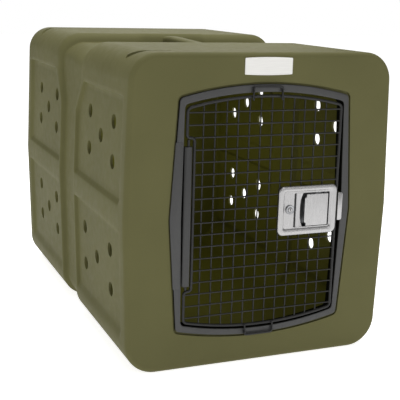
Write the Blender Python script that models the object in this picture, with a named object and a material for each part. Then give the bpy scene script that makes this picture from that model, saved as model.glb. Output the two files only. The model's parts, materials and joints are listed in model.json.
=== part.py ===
"""Pet transport carrier: one-piece moulded kennel with a swinging wire door and a keyed paddle latch.

Metres, +Z up. The front face looks along -Y, +X is to the right as seen from the front, and the
origin is on the floor, under the middle of the whole object.
"""

import math

import bmesh
import bpy
from mathutils import Matrix, Vector

# Moulded body
LENGTH = 0.947
HALF_WIDTH = 0.3063  # at the crease half way up the sides
LOWER_TAPER = 0.027  # the sides lean in below the crease, width per height
UPPER_TAPER = 0.035
CREASE_Z = 0.334
ROOF_Z = 0.6655
REAR_RISE = 0.0085  # the rear block's roof stands higher than the front block's
TOP_CORNER_R = 0.061
BOTTOM_CORNER_R = 0.066
EDGE_R = 0.0115  # edges of the front and rear faces
CORNER_STEPS = 7
EDGE_STEPS = 3
WALL = 0.006

# Recessed side panels and the channel between the blocks. Places along the length are given
# twice: for the straight lower part of the side, and for the roof and the chamfered corner.
PANEL_DEPTH = 0.0075
PANEL_FRONT = (0.032, 0.056)  # outer and inner edge of the panel's front wall
PANEL_REAR_SIDE = (0.390, 0.399)
PANEL_REAR_TOP = (0.328, 0.336)
CHANNEL_SIDE = (0.405, 0.418)  # channel's edge and the foot of its wall
CHANNEL_TOP = (0.351, 0.380)
CHANNEL_SIDE_DEPTH = 0.0115
CHANNEL_ROOF_DEPTH = 0.022
CHAMFER_Z = (0.507, 0.580)  # where the panel's corner starts and ends to lean
LOWER_PANEL_Z = (0.066, 0.091, 0.300, 0.305)  # outer bottom, inner bottom, inner top, outer top
UPPER_PANEL_Z = (0.354, 0.368, 0.575, 0.580)

# Vent holes: five in each panel, in near, middle and far columns and top, middle and bottom rows
VENT_R = 0.0158
VENT_SIDES = 12
UPPER_VENTS = ((0.116, 0.2085, 0.297), (0.517, 0.475, 0.433))
LOWER_VENTS = ((0.116, 0.2085, 0.297), (0.248, 0.203, 0.162))
LOWER_VENTS_LEFT_FRONT = ((0.128, 0.233, 0.331), (0.240, 0.194, 0.151))
VENT_REAR_SHIFT = 0.503

# Moulded grip across the channel, with a hand pocket under it
POCKET_HALF_FLOOR = 0.060
POCKET_HALF_RIM = 0.096
POCKET_DEPTH = 0.070
GRIP_HALF_WIDTH = 0.0165
GRIP_THICK = 0.026
GRIP_REACH = 0.020  # how far each end runs into its block
GRIP_DROP = 0.001
GRIP_EDGE_R = 0.009

# Lashing grooves, one across each outer corner of the roof: half width from the middle, distance
# from the block's outer face, and the radius of the groove there
LASHING_PATH = ((0.196, 0.062, 0.0028), (0.225, 0.058, 0.0034), (0.2434, 0.058, 0.0042),
                (0.2563, 0.0653, 0.0050), (0.2692, 0.0800, 0.0054), (0.2745, 0.0880, 0.0050))
LASHING_SIDES = 8

# Door ring outlines (x, z), before any offset
MID_Z = 0.329
RING_OUTER = {"corner": 0.193, "left": 0.209, "right": 0.209, "top": 0.578, "bottom": 0.0865,
              "rise": 0.0254, "drop": 0.0241, "radius": 0.011}
RING_INNER = {"corner": 0.1808, "left": 0.1842, "right": 0.1892, "top": 0.5635, "bottom": 0.1003,
              "rise": 0.0224, "drop": 0.0229, "radius": 0.010}
SEAT_DEPTH = 0.005
SEAT_GAP = 0.0012
SEAT_MARGIN = 0.009
SEAT_BACK = 0.0115
RING_PROUD = 0.002
RING_BACK = SEAT_DEPTH - 0.0003
RING_CHAMFER = 0.0012
LAND_Z = (0.1816, 0.4884)  # raised strip on the hinge-side bar
LAND_RISE = 0.0009
LAND_EDGE = 0.0022
LAND_INNER = 0.1858
SLEEVE_WALL = 0.0025
SLEEVE_BACK = 0.028
SLEEVE_GAP = 0.0008
ARCH_STEPS = 10

# Door
PITCH = 0.0254
GRID_LOW_Z = 0.1156
GRID_COLUMNS = 12
GRID_ROWS = 18
WIRE_R = 0.0016
WIRE_OFFSET = 0.00124  # uprights lie behind, level wires in front, fused where they cross
ROD_R = 0.0032
ROD_LEFT = -0.1750
ROD_STEP = -0.1588
ROD_RIGHT = 0.1757
ROD_TOP = 0.5560
ROD_BOTTOM = 0.1059
ROD_RISE = 0.0216
ROD_DROP = 0.0208
STEP_TOP_Z = 0.4970
STEP_LOW_Z = 0.1730
ROD_CORNER_R = 0.010
ROD_STEP_R = 0.0072
GAP = 0.0003
LOOP_R = 0.0024
LOOP_Y = -0.0062
LOOP_HALF = 0.0328
LOOP_X = -0.0016
TOP_LOOP_Z = (0.5715, 0.5974)
BOTTOM_LOOP_Z = (0.0876, 0.0645)

# Hinge
HINGE_X = -0.1715
POST_X = (-0.1806, -0.1642)
POST_Y = (-0.0058, 0.0058)
POST_CORNER_R = 0.0050
POST_BORE_R = 0.0031
POST_Z = (0.1855, 0.4790)
POST_FLANGE_X = (-0.1806, -0.1783)
POST_FLANGE_INSET = 0.004
POST_FLANGE_BACK = 0.0155
PIN_R = 0.0027
PIN_DEPTH = 0.026
POST_SCREW_HEIGHTS = (0.210, 0.332, 0.454)
POST_SCREW_TIP_X = -0.1834
POST_SCREW_Y = 0.0118

# Latch
LATCH_X = (0.0339, 0.1742)
LATCH_Z = (0.2781, 0.3858)
LATCH_CORNER_R = 0.013
LATCH_BACK_Y = -0.0036
LATCH_RIM_Y = -0.0082
TRAY_X = (0.0481, 0.1571)
TRAY_Z = (0.2931, 0.3728)
TRAY_Y = -0.0052
TRAY_CORNER_R = 0.004
TRAY_SLOPE = 0.0022
WELL_X = (0.0775, 0.1557)
WELL_Z = (0.2945, 0.3714)
HOUSING_X = (0.0756, 0.1582)
HOUSING_Z = (0.2928, 0.3731)
HOUSING_BACK = 0.021
HOUSING_WALL = 0.0015
WELL_CORNER_R = 0.0022
WELL_RAMP = (0.0865, 0.0050)  # where the ramp beside the finger gap ends, x and y
STUD_X = (0.0462, 0.1618)
STUD_Z = (0.2860, 0.3785)
STUD_R = 0.002
STUD_TIP_Y = 0.0100
STUD_HOLE_GAP = 0.0005
BACKPLATE_Y = (0.0036, 0.0056)
BACKPLATE_CORNER_R = 0.006
NUT_R = 0.0041
NUT_THICK = 0.003
ROOM = 0.0006  # play round a piece that passes through a plate or a slot
PADDLE_X = (0.0964, 0.1525)
PADDLE_Z = (0.2971, 0.3668)
PADDLE_Y = (-0.0074, -0.0054)
PIVOT_X = 0.1490
PIVOT_Y = -0.0022
KNUCKLE_R = 0.0027
PADDLE_CORNER_R = 0.001
PADDLE_NOTCH = (0.003, 0.006)  # cut from each free corner, x and z
PADDLE_PIN_R = 0.0012
SPRING_COIL_R = 0.00225
SPRING_WIRE_R = 0.0004
SPRING_TURNS = 7
SPRING_END_GAP = 0.0012
PADDLE_TAIL = 0.0145
PADDLE_TAIL_Z = (0.3270, 0.3350)
SPRING_GAP_Z = (0.3440, 0.3580)  # left free between the paddle's knuckles
BOLT_X = (0.1120, 0.1760)
BOLT_Y = (0.0075, 0.0165)
BOLT_Z = (0.3200, 0.3420)
BOLT_SLANT = 0.006
BOLT_NOTCH_X = (-0.0026, 0.0056)  # from the paddle's pivot
LOCK_X = 0.0613
LOCK_Z = 0.3354
LOCK_FLANGE_R = 0.0096
LOCK_BODY_R = 0.0082
LOCK_PLUG_R = 0.0046
LOCK_NUT_R = 0.0125
LOCK_NUT_THICK = 0.004
LOCK_FLANGE_Y = -0.0082
LOCK_BODY_BACK = 0.0150
LOCK_PLUG_BACK = 0.0158
KEYWAY_HALF = (0.0008, 0.0031)
KEYWAY_BACK = -0.002
CAM_Y = (0.0161, 0.0185)
CAM_HALF = 0.006
CAM_REACH = 0.026
CAM_CORNER_R = 0.003
LOCK_SIDES = 24

# Strike and badge
STRIKE_Z = (0.3039, 0.3655)
STRIKE_LIP_X = (0.1794, 0.1905)
STRIKE_LEG_X = (0.1853, 0.1871)
STRIKE_CORNER_R = 0.0045
STRIKE_LEG_Y = (-0.0030, 0.0140)
STRIKE_LIP_FRONT = -0.0040
STRIKE_SCREW_TIP_X = 0.1908
STRIKE_SCREW_Y = 0.0100
STRIKE_SCREW_INSET = 0.012
BADGE_HALF = 0.0537
BADGE_Z = (0.6200, 0.6565)
BADGE_BOW = 0.0016
BADGE_THICK = 0.0015
BADGE_CORNER_R = 0.002

# Screws: shank radius, head radius and head height
SCREW_SIDES = 10
FRAME_SCREW = (0.0018, 0.0040, 0.0025)
FRAME_SCREW_TIP = 0.0009
FRAME_SCREW_INSET = 0.0094  # from the ring's inner edge to a screw's axis, on the upright bars
FRAME_SCREW_ARCH_INSET = 0.0048  # less than the bars' middle, as the arches fall away here
FRAME_SCREW_HEIGHTS = (0.210, 0.450)
FRAME_SCREW_HALF = 0.055
SIDE_SCREW = (0.0014, 0.0030, 0.0018)
STRIKE_SCREW = (0.0014, 0.0030, 0.0016)
SIDE_HOLE_R = 0.0018
FRAME_HOLE_R = 0.0023
BODY_HOLE_R = 0.0026
HOLE_SIDES = 8

FRONT_REACH = 0.0090  # the foremost piece, the lock plug, stands this far before the front face
FRONT_Y = (FRONT_REACH - LENGTH) / 2


def clear_scene():
    for item in list(bpy.data.objects):
        bpy.data.objects.remove(item, do_unlink=True)


def material(name, colour, roughness, metallic):
    made = bpy.data.materials.new(name)
    made.use_nodes = True
    shader = made.node_tree.nodes["Principled BSDF"]
    shader.inputs["Base Color"].default_value = (*colour, 1.0)
    shader.inputs["Roughness"].default_value = roughness
    shader.inputs["Metallic"].default_value = metallic
    return made


def place(name, mesh, look, origin=(0.0, 0.0, 0.0), smooth=False):
    """Make an object whose origin is at a point given in the front face's frame."""
    base = Vector(origin)
    mesh.transform(Matrix.Translation(-base))
    item = bpy.data.objects.new(name, mesh)
    item.location = base + Vector((0.0, FRONT_Y, 0.0))
    bpy.context.scene.collection.objects.link(item)
    mesh.materials.append(look)
    if smooth:
        mesh.shade_smooth()
        mesh.set_sharp_from_angle(angle=math.radians(35))
    return item


def finish_mesh(name, work):
    bmesh.ops.recalc_face_normals(work, faces=work.faces)
    mesh = bpy.data.meshes.new(name)
    work.to_mesh(mesh)
    work.free()
    return mesh


def combine(target, tool, operation):
    """Cut or join one object with another, which is left out of the build as a tool."""
    step = target.modifiers.new(tool.name, "BOOLEAN")
    step.object = tool
    step.operation = operation
    step.solver = "EXACT"
    tool.hide_render = True
    tool.display_type = "WIRE"


def loft(name, loops, cyclic=False):
    """Skin between closed loops of equal length. Not cyclic: the end loops are capped."""
    work = bmesh.new()
    rings = [[work.verts.new(point) for point in loop] for loop in loops]
    count = len(rings[0])
    pairs = list(zip(rings, rings[1:]))
    if cyclic:
        pairs.append((rings[-1], rings[0]))
    else:
        work.faces.new(rings[0])
        work.faces.new(rings[-1])
    for first, second in pairs:
        for i in range(count):
            j = (i + 1) % count
            work.faces.new((first[i], first[j], second[j], second[i]))
    bmesh.ops.triangulate(work, faces=work.faces)
    return finish_mesh(name, work)


def box_mesh(name, low, high):
    work = bmesh.new()
    bmesh.ops.create_cube(work, size=1.0)
    for vert in work.verts:
        for axis in range(3):
            vert.co[axis] = low[axis] if vert.co[axis] < 0 else high[axis]
    return finish_mesh(name, work)


def round_bar(start, end, radius, sides, turn=0.0):
    """Points of the two end loops of a straight bar along one axis."""
    along = Vector(end) - Vector(start)
    frame = along.to_track_quat("Z", "Y").to_matrix()
    loops = []
    for centre in (start, end):
        loop = []
        for k in range(sides):
            angle = turn + 2 * math.pi * k / sides
            spoke = frame @ Vector((math.cos(angle), math.sin(angle), 0.0))
            loop.append(Vector(centre) + radius * spoke)
        loops.append(loop)
    return loops


def bars_mesh(name, bars, radius, sides, turn=0.0):
    """Several straight bars in one mesh."""
    work = bmesh.new()
    for start, end in bars:
        first, last = (
            [work.verts.new(point) for point in loop]
            for loop in round_bar(start, end, radius, sides, turn)
        )
        work.faces.new(first)
        work.faces.new(last)
        for k in range(sides):
            j = (k + 1) % sides
            work.faces.new((first[k], first[j], last[j], last[k]))
    return finish_mesh(name, work)


def bar_mesh(name, start, end, radius, sides, turn=0.0):
    return bars_mesh(name, [(start, end)], radius, sides, turn)


def cutter(name, mesh):
    item = place(name, mesh, bpy.data.materials[0])
    item.hide_render = True
    item.display_type = "WIRE"
    return item


def filleted(corners, steps=3):
    """Round each corner (x, z, radius) of a closed outline; a radius of 0 keeps the corner."""
    outline = []
    count = len(corners)
    for i, (x, z, radius) in enumerate(corners):
        here = Vector((x, z))
        if radius == 0.0:
            outline.append(here)
            continue
        before = (Vector(corners[i - 1][:2]) - here).normalized()
        after = (Vector(corners[(i + 1) % count][:2]) - here).normalized()
        half = math.acos(max(-1.0, min(1.0, before.dot(after)))) / 2
        reach = radius / math.tan(half)
        centre = here + (before + after).normalized() * radius / math.sin(half)
        start = here + before * reach - centre
        end = here + after * reach - centre
        sweep = start.angle_signed(end)
        for k in range(steps + 1):
            turned = start.copy()
            turned.rotate(Matrix.Rotation(-sweep * k / steps, 2))
            outline.append(centre + turned)
    return outline


def arch(half, z, rise, steps):
    """Points of a shallow arc from +half to -half, bowed by rise (signed), without its ends."""
    radius = (half * half + rise * rise) / (2 * abs(rise))
    sign = 1.0 if rise > 0 else -1.0
    reach = math.asin(half / radius)
    points = []
    for k in range(1, steps):
        angle = reach * (1 - 2 * k / steps)
        points.append((radius * math.sin(angle), z + rise - sign * radius * (1 - math.cos(angle))))
    return points


def ring_outline(shape, grow=0.0):
    """Outline of the door ring: arched top and bottom, sides that bend out half way up."""
    corner = shape["corner"] + grow
    top = shape["top"] + grow
    bottom = shape["bottom"] - grow
    radius = max(shape["radius"] + grow, 0.004)
    corners = [(shape["right"] + grow, MID_Z, 0.0), (corner, top, radius)]
    corners += [(x, z, 0.0) for x, z in arch(corner, top, shape["rise"], ARCH_STEPS)]
    corners += [(-corner, top, radius), (-shape["left"] - grow, MID_Z, 0.0)]
    corners += [(-corner, bottom, radius)]
    low_arch = arch(corner, bottom, -shape["drop"], ARCH_STEPS)
    corners += [(x, z, 0.0) for x, z in reversed(low_arch)]
    corners += [(corner, bottom, radius)]
    return filleted(corners)


def at_depth(outline, y):
    return [Vector((point[0], y, point[1])) for point in outline]


def outline_prism(name, outline, front, back):
    return loft(name, [at_depth(outline, front), at_depth(outline, back)])


def rounded_box_outline(low, high, radius):
    corners = [(high[0], low[1]), (high[0], high[1]), (low[0], high[1]), (low[0], low[1])]
    return filleted([(x, z, radius) for x, z in corners])


# The moulded body


def side_x(z):
    taper = LOWER_TAPER if z < CREASE_Z else UPPER_TAPER
    return HALF_WIDTH - taper * abs(z - CREASE_Z)


def lean(z):
    """0 on the straight part of the side, 1 from the chamfer's top upwards."""
    low, high = CHAMFER_Z
    return max(0.0, min(1.0, (z - low) / (high - low)))


def row(x, z, normal, panel, channel, pocket=0.0):
    return {"x": x, "z": z, "nx": normal[0], "nz": normal[1], "panel": panel,
            "channel": channel, "pocket": pocket, "lean": lean(z)}


def body_rows():
    """Lengthwise lines of the right half of the skin, from the floor's middle to the roof's."""
    steps = CORNER_STEPS
    low_x = side_x(BOTTOM_CORNER_R) - BOTTOM_CORNER_R
    high_z = ROOF_Z - TOP_CORNER_R
    high_x = side_x(high_z) - TOP_CORNER_R
    rows = [row(0.0, 0.0, (0.0, -1.0), 0, 0.0)]
    for k in range(steps):
        angle = math.pi / 2 * k / steps
        out, down = math.sin(angle), math.cos(angle)
        rows.append(row(low_x + BOTTOM_CORNER_R * out, BOTTOM_CORNER_R * (1 - down),
                        (out, -down), 0, CHANNEL_SIDE_DEPTH * out))
    side = [(z, k in (1, 2)) for k, z in enumerate(LOWER_PANEL_Z)]
    side += [(CREASE_Z, False)]
    side += [(UPPER_PANEL_Z[0], False), (UPPER_PANEL_Z[1], True), (CHAMFER_Z[0], True)]
    side += [(UPPER_PANEL_Z[2], True), (UPPER_PANEL_Z[3], False)]
    for z, recessed in side:
        rows.append(row(side_x(z), z, (1.0, 0.0), int(recessed), CHANNEL_SIDE_DEPTH))
    for k in range(steps + 1):
        angle = math.pi / 2 * k / steps
        out, up = math.cos(angle), math.sin(angle)
        depth = CHANNEL_SIDE_DEPTH + (CHANNEL_ROOF_DEPTH - CHANNEL_SIDE_DEPTH) * up
        rows.append(row(high_x + TOP_CORNER_R * out, high_z + TOP_CORNER_R * up, (out, up), 0, depth))
    extra = POCKET_DEPTH - CHANNEL_ROOF_DEPTH
    rows.append(row(POCKET_HALF_RIM, ROOF_Z, (0.0, 1.0), 0, CHANNEL_ROOF_DEPTH))
    rows.append(row(POCKET_HALF_FLOOR, ROOF_Z, (0.0, 1.0), 0, CHANNEL_ROOF_DEPTH, extra))
    rows.append(row(0.0, ROOF_Z, (0.0, 1.0), 0, CHANNEL_ROOF_DEPTH, extra))
    return rows


def body_stations(skin):
    """Crosswise lines of the skin, from the front face to the rear face.

    Each gives its place on the side and on the roof, how far the rounded edge pulls it in, and
    whether it lies in the panels and in the channel. skin is the distance inside the outer skin.
    """
    half = []
    edge = EDGE_R - skin
    for k in range(EDGE_STEPS + 1):
        angle = math.pi / 2 * k / EDGE_STEPS
        y = skin + edge * (1 - math.cos(angle))
        half.append((y, y, edge * (1 - math.sin(angle)), 0, 0))
    half.append((PANEL_FRONT[0], PANEL_FRONT[0], 0.0, 0, 0))
    half.append((PANEL_FRONT[1], PANEL_FRONT[1], 0.0, 1, 0))
    half.append((PANEL_REAR_SIDE[0], PANEL_REAR_TOP[0], 0.0, 1, 0))
    half.append((PANEL_REAR_SIDE[1], PANEL_REAR_TOP[1], 0.0, 0, 0))
    half.append((CHANNEL_SIDE[0], CHANNEL_TOP[0], 0.0, 0, 0))
    half.append((CHANNEL_SIDE[1], CHANNEL_TOP[1], 0.0, 0, 1))
    rear = [(LENGTH - side, LENGTH - top, pull, panel, channel)
            for side, top, pull, panel, channel in reversed(half)]
    return half + rear


def skin_point(line, station, skin, mirrored):
    on_side, on_top, pull, panel, channel = station
    depth = PANEL_DEPTH * line["panel"] * panel + (line["channel"] + line["pocket"]) * channel
    inset = skin + pull + depth
    y = on_side + (on_top - on_side) * line["lean"]
    rise = REAR_RISE * line["lean"] if y > LENGTH / 2 else 0.0
    x = line["x"] - line["nx"] * inset
    return Vector((-x if mirrored else x, y, line["z"] - line["nz"] * inset + rise))


def skin_mesh(name, skin):
    rows = body_rows()
    loops = []
    for station in body_stations(skin):
        loop = [skin_point(line, station, skin, False) for line in rows]
        loop += [skin_point(line, station, skin, True) for line in reversed(rows[1:-1])]
        loops.append(loop)
    return loft(name, loops)


def vent_places(columns, rows, shift):
    near, middle, far = (y + shift for y in columns)
    top, centre, bottom = rows
    return [(near, top), (far, top), (middle, centre), (near, bottom), (far, bottom)]


def vent_bars():
    """Axes of the vent holes. The left front lower panel's five are drilled a little further back."""
    bars = []
    for side in (-1.0, 1.0):
        lower_front = LOWER_VENTS_LEFT_FRONT if side < 0 else LOWER_VENTS
        places = vent_places(*UPPER_VENTS, 0.0) + vent_places(*lower_front, 0.0)
        places += vent_places(*UPPER_VENTS, VENT_REAR_SHIFT)
        places += vent_places(*LOWER_VENTS, VENT_REAR_SHIFT)
        inner = side * (HALF_WIDTH - 0.05)
        outer = side * (HALF_WIDTH + 0.02)
        bars += [((inner, y, z), (outer, y, z)) for y, z in places]
    return bars


def frame_screw_places():
    """Middle of the ring's bar, clear of the sleeve, eight times round the ring."""
    side = RING_INNER["right"] + FRAME_SCREW_INSET
    hinge = RING_INNER["left"] + FRAME_SCREW_INSET
    high = RING_INNER["top"] + RING_INNER["rise"] + FRAME_SCREW_ARCH_INSET
    low = RING_INNER["bottom"] - RING_INNER["drop"] - FRAME_SCREW_ARCH_INSET
    uprights = [(x, z) for x in (-hinge, side) for z in FRAME_SCREW_HEIGHTS]
    arches = [(x, z) for z in (high, low) for x in (-FRAME_SCREW_HALF, FRAME_SCREW_HALF)]
    return uprights + arches


def roof_z(x):
    """Height of the front block's roof, which curves down at its corners."""
    high_z = ROOF_Z - TOP_CORNER_R
    past = x - (side_x(high_z) - TOP_CORNER_R)
    return high_z + math.sqrt(TOP_CORNER_R ** 2 - past ** 2) if past > 0 else ROOF_Z


def lashing_groove(side, at_rear):
    """Tapered tube along one roof corner's groove, half sunk in the skin."""
    path = []
    for x, y, radius in LASHING_PATH:
        place_y = LENGTH - y if at_rear else y
        rise = REAR_RISE if at_rear else 0.0
        path.append((Vector((side * x, place_y, roof_z(x) + rise)), radius))
    loops = []
    for i, (point, radius) in enumerate(path):
        along = path[min(i + 1, len(path) - 1)][0] - path[max(i - 1, 0)][0]
        turn = along.to_track_quat("Z", "Y").to_matrix()
        angles = [2 * math.pi * k / LASHING_SIDES for k in range(LASHING_SIDES)]
        loops.append([point + radius * (turn @ Vector((math.cos(a), math.sin(a), 0.0))) for a in angles])
    return loft("groove_tool", loops)


def kennel_body(look):
    body = place("kennel_body", skin_mesh("kennel_body", 0.0), look, smooth=True)
    half_length = LENGTH / 2
    reach = half_length - CHANNEL_TOP[0] + GRIP_REACH
    top = ROOF_Z - GRIP_DROP
    outline = rounded_box_outline((-GRIP_HALF_WIDTH, top - GRIP_THICK), (GRIP_HALF_WIDTH, top),
                                  GRIP_EDGE_R)
    grip = cutter("grip_tool", outline_prism("grip_tool", outline, half_length - reach,
                                             half_length + reach))
    combine(body, grip, "UNION")
    cavity = cutter("cavity_tool", skin_mesh("cavity_tool", WALL))
    seat_block = ring_outline(RING_OUTER, SEAT_MARGIN)
    block = cutter("seat_block_tool", outline_prism("seat_block_tool", seat_block, -0.01, SEAT_BACK))
    combine(cavity, block, "DIFFERENCE")
    combine(body, cavity, "DIFFERENCE")
    seat = cutter("seat_tool", outline_prism("seat_tool", ring_outline(RING_OUTER, SEAT_GAP),
                                             -0.01, SEAT_DEPTH))
    combine(body, seat, "DIFFERENCE")
    mouth_outline = ring_outline(RING_INNER, SLEEVE_WALL + SLEEVE_GAP)
    mouth = cutter("mouth_tool", outline_prism("mouth_tool", mouth_outline, -0.01, 0.03))
    combine(body, mouth, "DIFFERENCE")
    vents = cutter("vent_tool", bars_mesh("vent_tool", vent_bars(), VENT_R, VENT_SIDES))
    combine(body, vents, "DIFFERENCE")
    holes = [((x, RING_BACK - 0.0017, z), (x, 0.02, z)) for x, z in frame_screw_places()]
    screw_holes = bars_mesh("frame_hole_tool", holes, BODY_HOLE_R, HOLE_SIDES)
    combine(body, cutter("frame_hole_tool", screw_holes), "DIFFERENCE")
    for side in (-1.0, 1.0):
        for at_rear in (False, True):
            combine(body, cutter("groove_tool", lashing_groove(side, at_rear)), "DIFFERENCE")
    return body


# The door ring, its screws and what it carries


def hinge_land():
    """Raised strip on the ring's hinge-side bar, which bends with the bar."""
    low, high = LAND_Z
    corner, middle = RING_OUTER["corner"], RING_OUTER["left"]
    swell = middle - corner
    high_share = (RING_OUTER["top"] - high) / (RING_OUTER["top"] - MID_Z)
    low_share = (low - RING_OUTER["bottom"]) / (MID_Z - RING_OUTER["bottom"])
    outline = [Vector((-LAND_INNER, low)), Vector((-LAND_INNER, high)),
               Vector((LAND_EDGE - corner - swell * high_share, high)),
               Vector((LAND_EDGE - middle, MID_Z)),
               Vector((LAND_EDGE - corner - swell * low_share, low))]
    return outline_prism("land_tool", outline, -RING_PROUD - LAND_RISE, -RING_PROUD + 0.001)


def door_frame(look):
    outer = RING_OUTER
    inner = RING_INNER
    front = -RING_PROUD
    loops = [
        at_depth(ring_outline(outer), RING_BACK),
        at_depth(ring_outline(outer), front + RING_CHAMFER),
        at_depth(ring_outline(outer, -RING_CHAMFER), front),
        at_depth(ring_outline(inner, RING_CHAMFER), front),
        at_depth(ring_outline(inner), front + RING_CHAMFER),
        at_depth(ring_outline(inner), SLEEVE_BACK),
        at_depth(ring_outline(inner, SLEEVE_WALL), SLEEVE_BACK),
        at_depth(ring_outline(inner, SLEEVE_WALL), RING_BACK),
    ]
    ring = place("door_frame", loft("door_frame", loops, cyclic=True), look)
    combine(ring, cutter("land_tool", hinge_land()), "UNION")
    holes = [((x, 0.0004, z), (x, 0.02, z)) for x, z in frame_screw_places()]
    tool = cutter("ring_hole_tool", bars_mesh("ring_hole_tool", holes, FRAME_HOLE_R, HOLE_SIDES))
    combine(ring, tool, "DIFFERENCE")
    side_holes = bars_mesh("sleeve_hole_tool", post_holes() + strike_holes(), SIDE_HOLE_R, HOLE_SIDES)
    combine(ring, cutter("sleeve_hole_tool", side_holes), "DIFFERENCE")
    return ring


def post_holes():
    """Axes of the holes through the hinge post's flange and the ring's sleeve."""
    return [((-0.20, POST_SCREW_Y, z), (-0.17, POST_SCREW_Y, z)) for z in POST_SCREW_HEIGHTS]


def strike_holes():
    return [((0.17, STRIKE_SCREW_Y, z), (0.21, STRIKE_SCREW_Y, z)) for z in strike_screw_heights()]


def screw(name, tip, head, sizes, look):
    """A pan-head screw from its tip to the underside of its head, along one axis."""
    tip, head = Vector(tip), Vector(head)
    shank_r, head_r, head_height = sizes
    along = (head - tip).normalized()
    frame = along.to_track_quat("Z", "Y").to_matrix()
    length = (head - tip).length
    profile = [(0.0, shank_r * 0.6), (shank_r, shank_r), (length, shank_r), (length, head_r),
               (length + head_height * 0.6, head_r), (length + head_height, head_r * 0.6)]
    loops = []
    for height, radius in profile:
        loop = []
        for k in range(SCREW_SIDES):
            angle = 2 * math.pi * k / SCREW_SIDES
            spoke = frame @ Vector((math.cos(angle), math.sin(angle), 0.0))
            loop.append(tip + along * height + radius * spoke)
        loops.append(loop)
    return place(name, loft(name, loops), look, smooth=True)


def frame_screws(look):
    for number, (x, z) in enumerate(frame_screw_places(), start=1):
        screw(f"frame_screw_{number}", (x, FRAME_SCREW_TIP, z), (x, SEAT_BACK + GAP, z),
              FRAME_SCREW, look)


def hinge_post(look):
    """Rounded bar with a bore for the pins and a flange that is screwed to the ring's sleeve."""
    low, high = POST_Z
    outline = rounded_box_outline((POST_X[0], POST_Y[0]), (POST_X[1], POST_Y[1]), POST_CORNER_R)
    loops = [[Vector((x, y, z)) for x, y in outline] for z in (low, high)]
    post = place("hinge_post", loft("hinge_post", loops), look, smooth=True)
    flange = box_mesh("post_flange_tool", (POST_FLANGE_X[0], 0.0, low + POST_FLANGE_INSET),
                      (POST_FLANGE_X[1], POST_FLANGE_BACK, high - POST_FLANGE_INSET))
    combine(post, cutter("post_flange_tool", flange), "UNION")
    bore = bar_mesh("post_bore_tool", (HINGE_X, 0.0, low - 0.01), (HINGE_X, 0.0, high + 0.01),
                    POST_BORE_R, 12)
    combine(post, cutter("post_bore_tool", bore), "DIFFERENCE")
    tool = bars_mesh("post_hole_tool", post_holes(), SIDE_HOLE_R, HOLE_SIDES)
    combine(post, cutter("post_hole_tool", tool), "DIFFERENCE")
    return post


def hinge_post_screws(look):
    head = POST_FLANGE_X[1] + GAP
    for number, z in enumerate(POST_SCREW_HEIGHTS, start=1):
        screw(f"hinge_post_screw_{number}", (POST_SCREW_TIP_X, POST_SCREW_Y, z),
              (head, POST_SCREW_Y, z), SIDE_SCREW, look)


def strike_screw_heights():
    low, high = STRIKE_Z
    return (low + STRIKE_SCREW_INSET, high - STRIKE_SCREW_INSET)


def strike_plate(look):
    low, high = STRIKE_Z
    leg = box_mesh("strike_plate", (STRIKE_LEG_X[0], STRIKE_LEG_Y[0], low),
                   (STRIKE_LEG_X[1], STRIKE_LEG_Y[1], high))
    strike = place("strike_plate", leg, look)
    left, right = STRIKE_LIP_X
    outline = filleted([(right, low, STRIKE_CORNER_R), (right, high, STRIKE_CORNER_R),
                        (left, high, 0.0), (left, low, 0.0)])
    lip = outline_prism("strike_lip_tool", outline, STRIKE_LIP_FRONT, -RING_PROUD - GAP)
    combine(strike, cutter("strike_lip_tool", lip), "UNION")
    tool = bars_mesh("strike_hole_tool", strike_holes(), SIDE_HOLE_R, HOLE_SIDES)
    combine(strike, cutter("strike_hole_tool", tool), "DIFFERENCE")
    return strike


def strike_screws(look):
    head = STRIKE_LEG_X[0] - GAP
    for number, z in enumerate(strike_screw_heights(), start=1):
        screw(f"strike_screw_{number}", (STRIKE_SCREW_TIP_X, STRIKE_SCREW_Y, z),
              (head, STRIKE_SCREW_Y, z), STRIKE_SCREW, look)


def badge(look):
    """A thin plate with bowed upper and lower edges."""
    low, high = BADGE_Z
    corners = [(BADGE_HALF, high - BADGE_BOW, BADGE_CORNER_R)]
    corners += [(x, z, 0.0) for x, z in arch(BADGE_HALF, high - BADGE_BOW, BADGE_BOW, 8)]
    corners += [(-BADGE_HALF, high - BADGE_BOW, BADGE_CORNER_R)]
    corners += [(-BADGE_HALF, low + BADGE_BOW, BADGE_CORNER_R)]
    low_arch = arch(BADGE_HALF, low + BADGE_BOW, -BADGE_BOW, 8)
    corners += [(x, z, 0.0) for x, z in reversed(low_arch)]
    corners += [(BADGE_HALF, low + BADGE_BOW, BADGE_CORNER_R)]
    mesh = outline_prism("badge", filleted(corners), -BADGE_THICK - GAP, -GAP)
    return place("badge", mesh, look)


# The door


def rod_corners():
    corners = [(ROD_RIGHT, ROD_TOP, ROD_CORNER_R)]
    middle = (ROD_LEFT + ROD_RIGHT) / 2
    half = (ROD_RIGHT - ROD_LEFT) / 2
    corners += [(x + middle, z, 0.0) for x, z in arch(half, ROD_TOP, ROD_RISE, ARCH_STEPS)]
    corners += [(ROD_LEFT, ROD_TOP, ROD_CORNER_R), (ROD_LEFT, STEP_TOP_Z, ROD_STEP_R),
                (ROD_STEP, STEP_TOP_Z - 0.001, ROD_STEP_R), (ROD_STEP, STEP_LOW_Z + 0.001, ROD_STEP_R),
                (ROD_LEFT, STEP_LOW_Z, ROD_STEP_R), (ROD_LEFT, ROD_BOTTOM, ROD_CORNER_R)]
    low_arch = arch(half, ROD_BOTTOM, -ROD_DROP, ARCH_STEPS)
    corners += [(x + middle, z, 0.0) for x, z in reversed(low_arch)]
    corners += [(ROD_RIGHT, ROD_BOTTOM, ROD_CORNER_R)]
    return corners


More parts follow.
